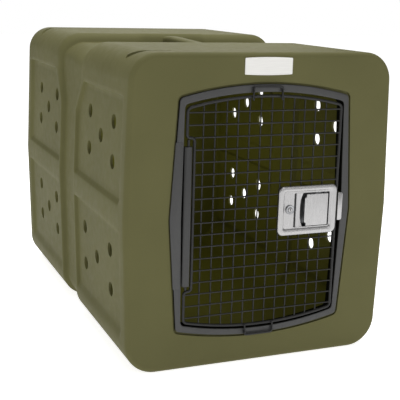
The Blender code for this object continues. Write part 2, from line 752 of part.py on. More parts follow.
def swept_loops(path, y, radius, sides):
    """Cross-sections of a round rod that follows a closed path in the door's plane."""
    loops = []
    count = len(path)
    for i, point in enumerate(path):
        along = (path[(i + 1) % count] - path[i - 1]).normalized()
        before = (point - path[i - 1]).normalized()
        widen = 1 / max(0.5, along.dot(before))
        across = Vector((along.y, -along.x))
        loop = []
        for k in range(sides):
            angle = 2 * math.pi * k / sides
            out = across * radius * math.cos(angle) * widen
            loop.append(Vector((point.x + out.x, y + radius * math.sin(angle), point.y + out.y)))
        loops.append(loop)
    return loops


def door_rod(look):
    path = filleted(rod_corners())
    mesh = loft("door_rod", swept_loops(path, 0.0, ROD_R, 8), cyclic=True)
    return place("door_rod", mesh, look, origin=(HINGE_X, 0.0, MID_Z), smooth=True)


def rod_bow(x, bow):
    """How far the rod's arch stands above its corners at x."""
    middle = (ROD_LEFT + ROD_RIGHT) / 2
    half = (ROD_RIGHT - ROD_LEFT) / 2
    radius = (half * half + bow * bow) / (2 * bow)
    return bow - radius + math.sqrt(radius * radius - (x - middle) ** 2)


def door_mesh(look):
    """Welded mesh: its wires end just short of the rod, and it leaves room for latch and lock."""
    clearance = ROD_R + 0.0006
    uprights = []
    for column in range(GRID_COLUMNS):
        x = PITCH * (column - (GRID_COLUMNS - 1) / 2)
        low = ROD_BOTTOM - rod_bow(x, ROD_DROP) + clearance
        high = ROD_TOP + rod_bow(x, ROD_RISE) - clearance
        uprights.append(((x, WIRE_OFFSET, low), (x, WIRE_OFFSET, high)))
    levels = []
    for index in range(GRID_ROWS):
        z = GRID_LOW_Z + PITCH * index
        beside_step = STEP_LOW_Z < z < STEP_TOP_Z + 0.003
        left = ROD_STEP if beside_step else ROD_LEFT
        start = left + clearance + 0.0004
        levels.append(((start, -WIRE_OFFSET, z), (ROD_RIGHT - clearance, -WIRE_OFFSET, z)))
    turn = math.radians(30)
    mesh = place("door_mesh", bars_mesh("door_mesh", uprights, WIRE_R, 6, turn), look,
                 origin=(HINGE_X, 0.0, MID_Z), smooth=True)
    across = bars_mesh("level_wire_tool", levels, WIRE_R, 6, turn)
    combine(mesh, cutter("level_wire_tool", across), "UNION")
    room = box_mesh("latch_room_tool", (HOUSING_X[0] - 0.002, -0.02, HOUSING_Z[0] - 0.006),
                    (ROD_RIGHT + 0.01, 0.02, HOUSING_Z[1] + 0.0012))
    combine(mesh, cutter("latch_room_tool", room), "DIFFERENCE")
    room = box_mesh("lock_room_tool", (LOCK_X - LOCK_BODY_R - 0.001, -0.02, LOCK_Z - LOCK_BODY_R - 0.001),
                    (LOCK_X + LOCK_BODY_R + 0.001, 0.02, LOCK_Z + LOCK_BODY_R + 0.001))
    combine(mesh, cutter("lock_room_tool", room), "DIFFERENCE")
    return mesh


def stop_loop(name, door_z, ring_z, look):
    """A U of wire in front of the ring, its legs on the door."""
    side = 1.0 if ring_z > door_z else -1.0
    bend = 0.006
    right = LOOP_X + LOOP_HALF
    left = LOOP_X - LOOP_HALF
    path = [Vector((right, LOOP_Y, door_z))]
    for turn_from, centre_x in ((0, right - bend), (90, left + bend)):
        for k in range(4):
            angle = math.radians(turn_from + 30 * k)
            path.append(Vector((centre_x + bend * math.cos(angle), LOOP_Y,
                                ring_z - side * bend + side * bend * math.sin(angle))))
    path.append(Vector((left, LOOP_Y, door_z)))
    loops = []
    sides = 8
    for i, point in enumerate(path):
        start = path[max(i - 1, 0)]
        end = path[min(i + 1, len(path) - 1)]
        along = (end - start).normalized()
        across = Vector((along.z, 0.0, -along.x))
        loop = []
        for k in range(sides):
            angle = 2 * math.pi * k / sides
            loop.append(point + LOOP_R * (across * math.cos(angle)
                                          + Vector((0.0, math.sin(angle), 0.0))))
        loops.append(loop)
    return place(name, loft(name, loops), look, origin=(HINGE_X, 0.0, MID_Z), smooth=True)


def hinge_pins(look):
    top = STEP_TOP_Z - ROD_R - 0.0008
    low = STEP_LOW_Z + ROD_R + 0.0008
    spans = {"hinge_pin_upper": (POST_Z[1] - PIN_DEPTH, top), "hinge_pin_lower": (low, POST_Z[0] + PIN_DEPTH)}
    for name, (start, end) in spans.items():
        mesh = bar_mesh(name, (HINGE_X, 0.0, start), (HINGE_X, 0.0, end), PIN_R, 10)
        place(name, mesh, look, origin=(HINGE_X, 0.0, MID_Z), smooth=True)


# The latch, carried by the door


def latch_plate(look):
    """Front plate with a broad rounded rim, a sunk tray, a paddle well, a lock hole and four studs."""
    low = (LATCH_X[0], LATCH_Z[0])
    high = (LATCH_X[1], LATCH_Z[1])

    def inset(amount):
        return rounded_box_outline((low[0] + amount, low[1] + amount),
                                   (high[0] - amount, high[1] - amount), LATCH_CORNER_R - amount)

    def tray(grow):
        return rounded_box_outline((TRAY_X[0] - grow, TRAY_Z[0] - grow),
                                   (TRAY_X[1] + grow, TRAY_Z[1] + grow), TRAY_CORNER_R + grow)

    loops = [at_depth(inset(0.0), LATCH_BACK_Y), at_depth(inset(0.0), LATCH_BACK_Y - 0.0012),
             at_depth(inset(0.0012), LATCH_RIM_Y + 0.0012), at_depth(inset(0.0040), LATCH_RIM_Y),
             at_depth(tray(TRAY_SLOPE + 0.002), LATCH_RIM_Y),
             at_depth(tray(TRAY_SLOPE), LATCH_RIM_Y + 0.0006), at_depth(tray(0.0), TRAY_Y)]
    plate = place("latch_plate", loft("latch_plate", loops), look)
    studs = [((x, LATCH_BACK_Y - 0.0008, z), (x, STUD_TIP_Y, z)) for x in STUD_X for z in STUD_Z]
    combine(plate, cutter("stud_tool", bars_mesh("stud_tool", studs, STUD_R, 10)), "UNION")
    hole = bar_mesh("lock_hole_tool", (LOCK_X, -0.02, LOCK_Z), (LOCK_X, 0.01, LOCK_Z),
                    LOCK_BODY_R + GAP, LOCK_SIDES)
    combine(plate, cutter("lock_hole_tool", hole), "DIFFERENCE")
    well = rounded_box_outline((WELL_X[0], WELL_Z[0]), (WELL_X[1], WELL_Z[1]), WELL_CORNER_R)
    combine(plate, cutter("well_tool", outline_prism("well_tool", well, -0.02, 0.01)), "DIFFERENCE")
    return plate


def latch_backplate(look):
    outline = rounded_box_outline((LATCH_X[0] + 0.003, LATCH_Z[0] + 0.002),
                                  (LATCH_X[1] - 0.008, LATCH_Z[1] - 0.002), BACKPLATE_CORNER_R)
    plate = place("latch_backplate", outline_prism("latch_backplate", outline, *BACKPLATE_Y), look)
    room = box_mesh("housing_room_tool", (HOUSING_X[0] - ROOM, -0.01, HOUSING_Z[0] - ROOM),
                    (HOUSING_X[1] + ROOM, 0.02, HOUSING_Z[1] + ROOM))
    combine(plate, cutter("housing_room_tool", room), "DIFFERENCE")
    holes = [((x, -0.01, z), (x, 0.02, z)) for x in STUD_X for z in STUD_Z]
    tool = bars_mesh("backplate_hole_tool", holes, STUD_R + STUD_HOLE_GAP, 10)
    combine(plate, cutter("backplate_hole_tool", tool), "DIFFERENCE")
    hole = bar_mesh("backplate_lock_tool", (LOCK_X, -0.02, LOCK_Z), (LOCK_X, 0.02, LOCK_Z),
                    LOCK_BODY_R + ROOM, LOCK_SIDES)
    combine(plate, cutter("backplate_lock_tool", hole), "DIFFERENCE")
    return plate


def hex_nut(name, centre, start, end, across, bore_r, bore_sides, look):
    x, z = centre
    nut = place(name, bar_mesh(name, (x, start, z), (x, end, z), across, 6), look)
    hole = bar_mesh(f"{name}_bore_tool", (x, start - 0.01, z), (x, end + 0.01, z), bore_r, bore_sides)
    combine(nut, cutter(f"{name}_bore_tool", hole), "DIFFERENCE")
    return nut


def latch_nuts(look):
    places = [(x, z) for x in STUD_X for z in STUD_Z]
    for number, centre in enumerate(places, start=1):
        start = BACKPLATE_Y[1] + GAP
        hex_nut(f"latch_nut_{number}", centre, start, start + NUT_THICK, NUT_R, STUD_R + GAP, 10, look)


def latch_housing(look):
    """Open-fronted pan behind the well, with a slot for the bolt and holes for the paddle pin."""
    front = LATCH_BACK_Y + GAP
    low = (HOUSING_X[0], front, HOUSING_Z[0])
    high = (HOUSING_X[1], HOUSING_BACK, HOUSING_Z[1])
    pan = place("latch_housing", box_mesh("latch_housing", low, high), look)
    wall = HOUSING_WALL
    ramp_x, ramp_y = WELL_RAMP
    left = low[0] + wall
    right = high[0] - wall
    back = HOUSING_BACK - wall
    outline = [(left, front - 0.01), (left, front), (ramp_x, ramp_y), (ramp_x, back), (right, back),
               (right, front - 0.01)]
    loops = [[Vector((x, y, z)) for x, y in outline] for z in (low[2] + wall, high[2] - wall)]
    combine(pan, cutter("pan_tool", loft("pan_tool", loops)), "DIFFERENCE")
    slot = box_mesh("bolt_slot_tool", (high[0] - 0.01, BOLT_Y[0] - 0.0005, BOLT_Z[0] - 0.0005),
                    (high[0] + 0.01, BOLT_Y[1] + 0.0005, BOLT_Z[1] + 0.0005))
    combine(pan, cutter("bolt_slot_tool", slot), "DIFFERENCE")
    pin = bar_mesh("pin_hole_tool", (PIVOT_X, PIVOT_Y, low[2] - 0.01), (PIVOT_X, PIVOT_Y, high[2] + 0.01),
                   PADDLE_PIN_R + GAP, 10)
    combine(pan, cutter("pin_hole_tool", pin), "DIFFERENCE")
    return pan


def paddle_heights():
    """Lower knuckle, which carries the tail, and upper knuckle."""
    return (PADDLE_Z[0], SPRING_GAP_Z[0]), (SPRING_GAP_Z[1], PADDLE_Z[1])


def latch_paddle(look):
    """Pull paddle with notched free corners, hinge knuckles and a tail that drives the bolt."""
    left, right = PADDLE_X
    low, high = PADDLE_Z
    across, up = PADDLE_NOTCH
    round_r = PADDLE_CORNER_R
    corners = [(right, low, round_r), (right, high, round_r), (left + across, high, round_r),
               (left + across, high - up, round_r * 0.8), (left, high - up - across, round_r),
               (left, low + up + across, round_r), (left + across, low + up, round_r * 0.8),
               (left + across, low, round_r)]
    mesh = outline_prism("latch_paddle", filleted(corners), *PADDLE_Y)
    paddle = place("latch_paddle", mesh, look, origin=(PIVOT_X, PIVOT_Y, (low + high) / 2))
    knuckles = [((PIVOT_X, PIVOT_Y, start + 0.0004), (PIVOT_X, PIVOT_Y, end - 0.0004))
                for start, end in paddle_heights()]
    tool = bars_mesh("knuckle_tool", knuckles, KNUCKLE_R, 12)
    combine(paddle, cutter("knuckle_tool", tool), "UNION")
    for number, (start, end) in enumerate(paddle_heights(), start=1):
        cheek = box_mesh(f"cheek_tool_{number}", (PIVOT_X - 0.002, PADDLE_Y[1] - 0.001, start + 0.0006),
                         (PIVOT_X + 0.0022, PIVOT_Y - 0.0015, end - 0.0006))
        combine(paddle, cutter(f"cheek_tool_{number}", cheek), "UNION")
    tail = box_mesh("tail_tool", (PIVOT_X - 0.002, PIVOT_Y + 0.0018, PADDLE_TAIL_Z[0]),
                    (PIVOT_X + 0.002, PIVOT_Y + PADDLE_TAIL, PADDLE_TAIL_Z[1]))
    combine(paddle, cutter("tail_tool", tail), "UNION")
    bore = bar_mesh("knuckle_bore_tool", (PIVOT_X, PIVOT_Y, low - 0.01), (PIVOT_X, PIVOT_Y, high + 0.01),
                    PADDLE_PIN_R + GAP, 10)
    combine(paddle, cutter("knuckle_bore_tool", bore), "DIFFERENCE")
    return paddle


def paddle_pin(look):
    start = (PIVOT_X, PIVOT_Y, HOUSING_Z[0] + 0.0002)
    end = (PIVOT_X, PIVOT_Y, HOUSING_Z[1] - 0.0002)
    mesh = bar_mesh("paddle_pin", start, end, PADDLE_PIN_R, 10)
    return place("paddle_pin", mesh, look, origin=(PIVOT_X, PIVOT_Y, MID_Z), smooth=True)


def paddle_spring(look):
    """Torsion coil round the paddle pin, between the knuckles."""
    turns = SPRING_TURNS
    steps = 12
    low = SPRING_GAP_Z[0] + SPRING_END_GAP
    high = SPRING_GAP_Z[1] - SPRING_END_GAP
    sides = 5
    loops = []
    for i in range(turns * steps + 1):
        angle = 2 * math.pi * i / steps
        z = low + (high - low) * i / (turns * steps)
        spoke = Vector((math.cos(angle), math.sin(angle), 0.0))
        centre = Vector((PIVOT_X, PIVOT_Y, z)) + SPRING_COIL_R * spoke
        loop = []
        for k in range(sides):
            turn = 2 * math.pi * k / sides
            out = spoke * math.cos(turn) + Vector((0.0, 0.0, math.sin(turn)))
            loop.append(centre + SPRING_WIRE_R * out)
        loops.append(loop)
    return place("paddle_spring", loft("paddle_spring", loops), look, smooth=True)


def latch_bolt(look):
    """Slam bolt with a slanted nose and a notch for the paddle's tail."""
    left, right = BOLT_X
    front, back = BOLT_Y
    low, high = BOLT_Z
    outline = [(left, front), (right, front), (right, back - BOLT_SLANT), (right - BOLT_SLANT, back),
               (left, back)]
    loops = [[Vector((x, y, z)) for x, y in outline] for z in (low, high)]
    bolt = place("latch_bolt", loft("latch_bolt", loops), look,
                 origin=(left, (front + back) / 2, (low + high) / 2))
    notch = box_mesh("notch_tool",
                     (PIVOT_X + BOLT_NOTCH_X[0], front - 0.01, PADDLE_TAIL_Z[0] - 2 * ROOM),
                     (PIVOT_X + BOLT_NOTCH_X[1], PIVOT_Y + PADDLE_TAIL + 0.001,
                      PADDLE_TAIL_Z[1] + 2 * ROOM))
    combine(bolt, cutter("notch_tool", notch), "DIFFERENCE")
    return bolt


def lock_parts(steel, zinc):
    """Cam lock: fixed barrel with its nut, and the plug that turns with the cam behind it."""
    flange_back = TRAY_Y - GAP
    flange_front = LOCK_FLANGE_Y
    sides = LOCK_SIDES

    def ring(radius, y):
        return [Vector((LOCK_X + radius * math.cos(2 * math.pi * k / sides), y,
                        LOCK_Z + radius * math.sin(2 * math.pi * k / sides))) for k in range(sides)]

    bore = LOCK_PLUG_R + GAP
    loops = [ring(bore, flange_front + 0.0006), ring(bore + 0.0012, flange_front),
             ring(LOCK_FLANGE_R - 0.0010, flange_front), ring(LOCK_FLANGE_R, flange_front + 0.0010),
             ring(LOCK_FLANGE_R, flange_back), ring(LOCK_BODY_R, flange_back),
             ring(LOCK_BODY_R, LOCK_BODY_BACK), ring(bore, LOCK_BODY_BACK)]
    place("lock_barrel", loft("lock_barrel", loops, cyclic=True), zinc, smooth=True)
    start = BACKPLATE_Y[1] + GAP
    hex_nut("lock_nut", (LOCK_X, LOCK_Z), start, start + LOCK_NUT_THICK, LOCK_NUT_R,
            LOCK_BODY_R + GAP, sides, zinc)
    plug = place("lock_plug", bar_mesh("lock_plug", (LOCK_X, -FRONT_REACH, LOCK_Z),
                                       (LOCK_X, LOCK_PLUG_BACK, LOCK_Z), LOCK_PLUG_R, 20),
                 steel, origin=(LOCK_X, 0.0, LOCK_Z), smooth=True)
    across, up = KEYWAY_HALF
    keyway = box_mesh("keyway_tool", (LOCK_X - across, -0.02, LOCK_Z - up),
                      (LOCK_X + across, KEYWAY_BACK, LOCK_Z + up))
    combine(plug, cutter("keyway_tool", keyway), "DIFFERENCE")
    top, low = LOCK_Z + CAM_HALF, LOCK_Z - CAM_REACH
    left, right = LOCK_X - CAM_HALF, LOCK_X + CAM_HALF
    outline = filleted([(right, top, CAM_CORNER_R), (left, top, CAM_CORNER_R),
                        (left, low, CAM_CORNER_R), (right, low, CAM_CORNER_R)])
    place("lock_cam", outline_prism("lock_cam", outline, *CAM_Y), zinc, origin=(LOCK_X, 0.0, LOCK_Z))


def main():
    clear_scene()
    plastic = material("olive_polyethylene", (0.118, 0.114, 0.052), 0.62, 0.0)
    ring_plastic = material("dark_grey_plastic", (0.085, 0.083, 0.088), 0.5, 0.0)
    black = material("black_powder_coat", (0.022, 0.022, 0.024), 0.42, 0.0)
    stainless = material("brushed_stainless", (0.62, 0.62, 0.60), 0.28, 1.0)
    zinc = material("zinc_plate", (0.55, 0.56, 0.58), 0.35, 1.0)
    pale = material("pale_plate", (0.80, 0.80, 0.77), 0.4, 0.0)
    kennel_body(plastic)
    door_frame(ring_plastic)
    frame_screws(zinc)
    hinge_post(ring_plastic)
    hinge_post_screws(zinc)
    strike_plate(stainless)
    strike_screws(zinc)
    badge(pale)
    door_rod(black)
    door_mesh(black)
    stop_loop("top_stop_loop", *TOP_LOOP_Z, black)
    stop_loop("bottom_stop_loop", *BOTTOM_LOOP_Z, black)
    hinge_pins(black)
    latch_plate(stainless)
    latch_backplate(zinc)
    latch_nuts(zinc)
    latch_housing(zinc)
    latch_paddle(stainless)
    paddle_pin(zinc)
    paddle_spring(zinc)
    latch_bolt(stainless)
    lock_parts(stainless, zinc)


main()
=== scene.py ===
"""Looks of the pet transport carrier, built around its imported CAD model.

Metres, +Z up, in the CAD's frame. The front face looks along -Y, and +X is to the right as seen
from the front. FACE_Y is the plane of the body's front face: a depth is counted from it, positive
into the cabin.
"""

import json
import math

import bmesh
import bpy
from mathutils import Matrix, Vector


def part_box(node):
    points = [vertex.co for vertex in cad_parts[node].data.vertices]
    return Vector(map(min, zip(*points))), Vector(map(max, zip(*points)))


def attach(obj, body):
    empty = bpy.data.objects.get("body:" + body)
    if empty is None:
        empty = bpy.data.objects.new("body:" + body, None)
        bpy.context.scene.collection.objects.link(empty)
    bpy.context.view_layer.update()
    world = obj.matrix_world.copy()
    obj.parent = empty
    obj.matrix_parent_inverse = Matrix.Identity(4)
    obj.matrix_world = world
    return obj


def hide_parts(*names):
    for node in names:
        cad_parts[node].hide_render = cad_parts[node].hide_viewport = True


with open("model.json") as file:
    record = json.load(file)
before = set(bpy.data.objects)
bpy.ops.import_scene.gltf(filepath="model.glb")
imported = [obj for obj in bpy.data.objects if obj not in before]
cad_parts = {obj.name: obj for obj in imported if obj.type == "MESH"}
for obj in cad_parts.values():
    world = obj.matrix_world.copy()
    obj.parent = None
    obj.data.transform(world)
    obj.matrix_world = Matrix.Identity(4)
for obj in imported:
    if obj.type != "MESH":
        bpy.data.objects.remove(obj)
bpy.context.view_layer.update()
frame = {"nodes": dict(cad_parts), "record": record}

BODY_LOW, BODY_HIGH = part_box("kennel_body")
FACE_Y = BODY_LOW.y
LENGTH = BODY_HIGH.y - BODY_LOW.y
HALF_WIDTH = BODY_HIGH.x

# Section of the body
LOWER_TAPER = 0.027
UPPER_TAPER = 0.035
CREASE_Z = 0.334
REAR_RISE = 0.0085
ROOF_Z = BODY_HIGH.z - REAR_RISE
TOP_CORNER_R = 0.061
BOTTOM_CORNER_R = 0.066
EDGE_R = 0.0115
WALL = 0.006
REAR_RISE_REACH = 0.09  # length over which the roof climbs to the rear block's height

# Spacing of the body's lengthwise rows and crosswise stations
FLOOR_PITCH = 0.06
SIDE_PITCH = 0.012
ROOF_PITCH = 0.02
POCKET_SLOPE_PITCH = 0.004
POCKET_PITCH = 0.006
STATION_PITCH = 0.016
CORNER_ROWS = 14
SLOPE_ROWS = 7
SLOPE_STATIONS = 8
EDGE_STATIONS = 8

# Panels, channel and grip, as in the CAD
PANEL_DEPTH = 0.0075
PANEL_FRONT = (0.032, 0.056)
PANEL_REAR_SIDE = (0.390, 0.399)
PANEL_REAR_TOP = (0.328, 0.336)
CHANNEL_SIDE = (0.405, 0.418)
CHANNEL_TOP = (0.351, 0.380)
CHANNEL_SIDE_DEPTH = 0.0115
CHANNEL_ROOF_DEPTH = 0.022
CHAMFER_Z = (0.507, 0.580)
LOWER_PANEL_Z = (0.066, 0.091, 0.300, 0.305)
UPPER_PANEL_Z = (0.354, 0.368, 0.575, 0.580)
WALL_BULGE = 0.7  # how far the rear block's front wall bulges, as a share of a quarter circle
POCKET_HALF = (0.060, 0.096)
POCKET_DEPTH = 0.070
GRIP_HALF_WIDTH = 0.0165
GRIP_THICK = 0.026
GRIP_SUNK = 0.018  # how far the bar's ends go into the blocks
GRIP_BELOW_ROOF = 0.001
GRIP_FLARE_START = 0.55  # share of the half length where the ends begin to flare
GRIP_FLARE = {"half_width": 0.010, "thick": 0.012, "drop": 0.003}
GRIP_REAR_SHARE = 0.7  # share of the rear block's rise that the bar's rear end takes
GRIP_ROUNDNESS = 0.7  # 1 is an ellipse, less is squarer
GRIP_SIDES = 28
GRIP_STEPS = 40

# Vent holes
VENT_R = 0.0158
VENT_SIDES = 36
UPPER_VENTS = ((0.116, 0.2085, 0.297), (0.517, 0.475, 0.433))
LOWER_VENTS = ((0.116, 0.2085, 0.297), (0.248, 0.203, 0.162))
LOWER_VENTS_LEFT_FRONT = ((0.128, 0.233, 0.331), (0.240, 0.194, 0.151))
VENT_REAR_SHIFT = 0.503
VENT_CUT = (0.05, 0.02)  # how far the cutters reach inside and outside the side

# Door ring
MID_Z = 0.329
RING_OUTER = {"corner": 0.193, "left": 0.209, "right": 0.209, "top": 0.578, "bottom": 0.0865,
              "rise": 0.0254, "drop": 0.0241, "radius": 0.011}
RING_INNER = {"corner": 0.1808, "left": 0.1842, "right": 0.1892, "top": 0.5635, "bottom": 0.1003,
              "rise": 0.0224, "drop": 0.0229, "radius": 0.010}
SEAT_GAP = 0.0028
RING_INSET = 0.0014  # the ring's edge stands back from its outline by this much
RING_LEAST_R = 0.004
RING_ROLL_OUTER = 0.0022
RING_ROLL_INNER = 0.0016
ROLL_STEPS = 6
SEAT_DEPTH = 0.005
SEAT_MARGIN = 0.009
SEAT_BACK = 0.0115
RING_PROUD = 0.002
SLEEVE_WALL = 0.0025
SLEEVE_BACK = 0.028
SLEEVE_GAP = 0.0008
MOUTH_BACK = 0.03
CUT_FRONT = -0.01  # depth where the front face's cutters start

# Lashing grooves: half width from the middle, distance from the block's outer face, radius
LASHING_PATH = ((0.190, 0.061, 0.0034), (0.225, 0.0585, 0.0040), (0.2434, 0.0600, 0.0060),
                (0.2563, 0.0680, 0.0090), (0.2692, 0.0820, 0.0098), (0.2760, 0.0900, 0.0075))
LASHING_STEPS = 6
GROOVE_LIFT = 0.0012
GROOVE_WALL = 0.0045
GROOVE_DOME_STEPS = 4

# Raised strip on the ring's hinge-side bar
LAND_Z = (0.1816, 0.4884)
LAND_RISE = 0.0009
LAND_EDGE = -0.0008
LAND_INNER = 0.1858
LAND_SUNK = 0.001
LAND_SOFTENING = ((0.0, 0.0005), (0.00015, 0.00015), (0.0005, 0.0))  # inset, drop from its top

# Hinge post and pins
HINGE_X = -0.1715
POST_X = (-0.1806, -0.1642)
POST_Y = (-0.0058, 0.0058)
POST_CORNER_R = 0.0040
POST_Z = (0.1855, 0.4790)
POST_EDGE = 0.0012
FLANGE_THICK = 0.0023
FLANGE_BACK = 0.0155
FLANGE_INSET = 0.004
BORE_R = 0.0031
BORE_DEPTH = 0.030
BORE_OVERRUN = 0.01
PIN_R = 0.0027

# Door
PITCH = 0.0254
GRID_LOW_Z = 0.1156
GRID_COLUMNS = 12
GRID_ROWS = 18
WIRE_R = 0.0016
WIRE_OFFSET = 0.00124
WIRE_SIDES = 12
HOUSING_ROOM = {"left": 0.002, "low": 0.006, "high": 0.0012}  # from the housing to the wires' ends
LOCK_ROOM = 0.001
ROD_R = 0.0032
ROD_LEFT = -0.1750
ROD_STEP = -0.1588
ROD_RIGHT = 0.1757
ROD_MIDDLE = (ROD_LEFT + ROD_RIGHT) / 2
ROD_HALF = (ROD_RIGHT - ROD_LEFT) / 2
ROD_TOP = 0.5560
ROD_BOTTOM = 0.1059
ROD_RISE = 0.0216
ROD_DROP = 0.0208
STEP_TOP_Z = 0.4970
STEP_LOW_Z = 0.1730
ROD_CORNER_R = 0.010
ROD_STEP_R = 0.0072
ROD_STEP_SLOPE = 0.001
ROD_SIDES = 16
ROD_CORNER_STEPS = 7
LOOP_R = 0.0024
LOOP_Y = -0.0062
LOOP_HALF = 0.0328
LOOP_X = -0.0016
LOOP_BEND = 0.006
LOOP_BEND_STEPS = 8
TOP_LOOP_Z = (0.5715, 0.5974)
BOTTOM_LOOP_Z = (0.0876, 0.0645)

# Latch
LATCH_X = (0.0339, 0.1742)
LATCH_Z = (0.2781, 0.3858)
LATCH_CORNER_R = 0.013
LATCH_BACK_Y = -0.0036
LATCH_RIM_Y = -0.0082
LATCH_ROLL = 0.0034
LATCH_ROLL_DROP = 0.0005
LATCH_ROLL_STEPS = 8
RIM_CROWN = ((0.0055, 0.0001), (0.0075, 0.0))  # inset from the outline, drop from the rim's top
TRAY_WALL = ((0.0052, 0.0001), (0.0036, 0.0005), (0.0022, 0.0013), (0.0010, 0.0024))
TRAY_X = (0.0481, 0.1571)
TRAY_Z = (0.2931, 0.3728)
TRAY_Y = -0.0052
TRAY_CORNER_R = 0.004
TRAY_MARGIN = 0.0005
WELL_X = (0.0715, 0.1567)
WELL_Z = (0.2952, 0.3700)
WELL_CORNER_R = 0.0022
# Section of a black strip along the well's edge: painted shade of the trough there
WELL_SHADE_STRIP_SECTION = ((0.0718, -0.0034), (0.0718, -0.0040), (0.0764, -0.0036), (0.0764, -0.0026))
LIP_FOLD = ((0.0767, -0.0030), (0.0767, -0.0043), (0.0773, -0.0049))
LIP_EDGE = ((0.0858, -0.0048), (0.0868, -0.0043), (0.0874, -0.0032), (0.0882, 0.0045),
            (0.0872, 0.0045), (0.0862, -0.0034), (0.0856, -0.0037))
LIP_REACH = 0.0070  # how much further right the lip's edge is at its two ends
STRIP_GAP = 0.0004
STRIP_STEPS = 16
HOUSING_X = (0.0756, 0.1582)
HOUSING_Z = (0.2928, 0.3731)
STUD_X = (0.0462, 0.1618)
STUD_Z = (0.2860, 0.3785)
STUD_R = 0.002
STUD_SUNK = 0.0008
STUD_BACK = 0.0100
PADDLE_X = (0.0964, 0.1525)
PADDLE_Z = (0.2971, 0.3668)
PADDLE_Y = (-0.0074, -0.0054)
PADDLE_NOTCH = (0.0042, 0.0062)
PADDLE_NOTCH_SLOPE = 0.002
PADDLE_CORNER_R = 0.0010
PADDLE_NOTCH_R = 0.0006
PADDLE_CROWN = ((0.0, 0.0006), (0.00015, 0.0003), (0.0005, 0.0001), (0.0014, 0.0))
PADDLE_BACK_EDGE = 0.0003
PIVOT_X = 0.1490
PIVOT_Y = -0.0022
KNUCKLE_R = 0.0027
KNUCKLE_GAP = 0.0004
CHEEK_X = (-0.002, 0.0022)  # from the pivot
CHEEK_Y = (-0.001, -0.0015)  # from the plate's back, from the pivot
CHEEK_GAP = 0.0006
PIVOT_BORE_R = 0.0015
TAIL_HALF = 0.002
TAIL_START = 0.0018
PADDLE_TAIL = 0.0145
PADDLE_TAIL_Z = (0.3270, 0.3350)
SPRING_GAP_Z = (0.3440, 0.3580)
LOCK_X = 0.0613
LOCK_Z = 0.3354
LOCK_FLANGE_R = 0.0100
LOCK_BODY_R = 0.0082
LOCK_PLUG_R = 0.0046
LOCK_FRONT_Y = -0.0090
LOCK_RIM_Y = -0.0082
LOCK_BACK_Y = 0.0150
# Front of the lock: radius (in the rolls, from the bore's, the flange's or the plug's), and drop
LOCK_GROOVE = ((0.0085, 0.0), (0.0087, 0.0007), (0.0094, 0.0007), (0.0096, 0.0001))
BORE_ROLL = ((0.0, 0.0008), (0.0005, 0.0003), (0.0011, 0.0001))
FLANGE_ROLL = ((-0.0002, 0.0003), (0.0, 0.0010))
PLUG_ROLL = ((0.0, 0.0005), (-0.0002, 0.0002), (-0.0006, 0.0))
PLUG_BACK_Y = 0.0158
KEYWAY_HALF = (0.0008, 0.0031)
KEYWAY_BACK_Y = -0.002
STRIKE_Z = (0.3039, 0.3655)
STRIKE_LIP_X = (0.1794, 0.1905)
STRIKE_LEG_X = (0.1853, 0.1871)
STRIKE_CORNER_R = 0.0045
STRIKE_INNER_R = 0.0010
STRIKE_FRONT_Y = -0.0040
STRIKE_SOFTENING = ((0.0, 0.0006), (0.0002, 0.0002), (0.0006, 0.0))  # inset, drop from its front
STRIKE_LEG_Y = (-0.0030, 0.0140)
BADGE_HALF = 0.0537
BADGE_Z = (0.6200, 0.6565)
BADGE_BOW = 0.0016
BADGE_CORNER_R = 0.002
BADGE_LEAST_R = 0.0004
# The badge's section: inset from its outline, depth
BADGE_SECTION = ((0.0, -0.0013), (0.00015, -0.00165), (0.0005, -0.0018), (0.0012, -0.0018),
                 (0.0016, -0.0014))
GAP = 0.0003

STEPS_PER_CORNER = 10
SMALL_CORNER_STEPS = 6
ARCH_STEPS = 28
SHARP_ANGLE = math.radians(35)
THROUGH = 0.02  # how far a cutter stands out in front of what it cuts


# Small tools


def smooth_step(t):
    t = max(0.0, min(1.0, t))
    return t * t * (3 - 2 * t)


def add_object(name, data):
    item = bpy.data.objects.new(name, data)
    bpy.context.scene.collection.objects.link(item)
    return item


def new_object(name, mesh, slot):
    """An object with its material slot, and that slot's look."""
    item = add_object(name, mesh)
    mesh.name = name
    mesh.materials.append(looks[slot])
    mesh.shade_smooth()
    mesh.set_sharp_from_angle(angle=SHARP_ANGLE)
    return item


def mesh_from(work):
    bmesh.ops.recalc_face_normals(work, faces=work.faces)
    mesh = bpy.data.meshes.new("mesh")
    work.to_mesh(mesh)
    work.free()
    return mesh


def loft(loops, cyclic=False):
    """Skin between closed loops of equal length. Not cyclic: the end loops are capped."""
    work = bmesh.new()
    rings = [[work.verts.new(point) for point in loop] for loop in loops]
    count = len(rings[0])
    pairs = list(zip(rings, rings[1:]))
    if cyclic:
        pairs.append((rings[-1], rings[0]))
    else:
        caps = [work.faces.new(rings[0]), work.faces.new(rings[-1])]
        bmesh.ops.triangulate(work, faces=caps)
    for first, second in pairs:
        for i in range(count):
            j = (i + 1) % count
            work.faces.new((first[i], first[j], second[j], second[i]))
    return mesh_from(work)


def circle(sides):
    """Cosine and sine at even steps round a circle."""
    angles = [2 * math.pi * k / sides for k in range(sides)]
    return [(math.cos(angle), math.sin(angle)) for angle in angles]


def quarter(steps):
    """Cosine and sine at even steps over a quarter turn, with both ends."""
    angles = [math.pi / 2 * k / steps for k in range(steps + 1)]
    return [(math.cos(angle), math.sin(angle)) for angle in angles]


def at_depth(outline, depth):
    return [Vector((point[0], FACE_Y + depth, point[1])) for point in outline]


def stepped(outline, front, section):
    """Loops of an outline that takes an inset, one for each (inset, drop) of its section."""
    return [at_depth(outline(inset), front + drop) for inset, drop in section]


def prism(outline, front, back):
    return loft([at_depth(outline, front), at_depth(outline, back)])


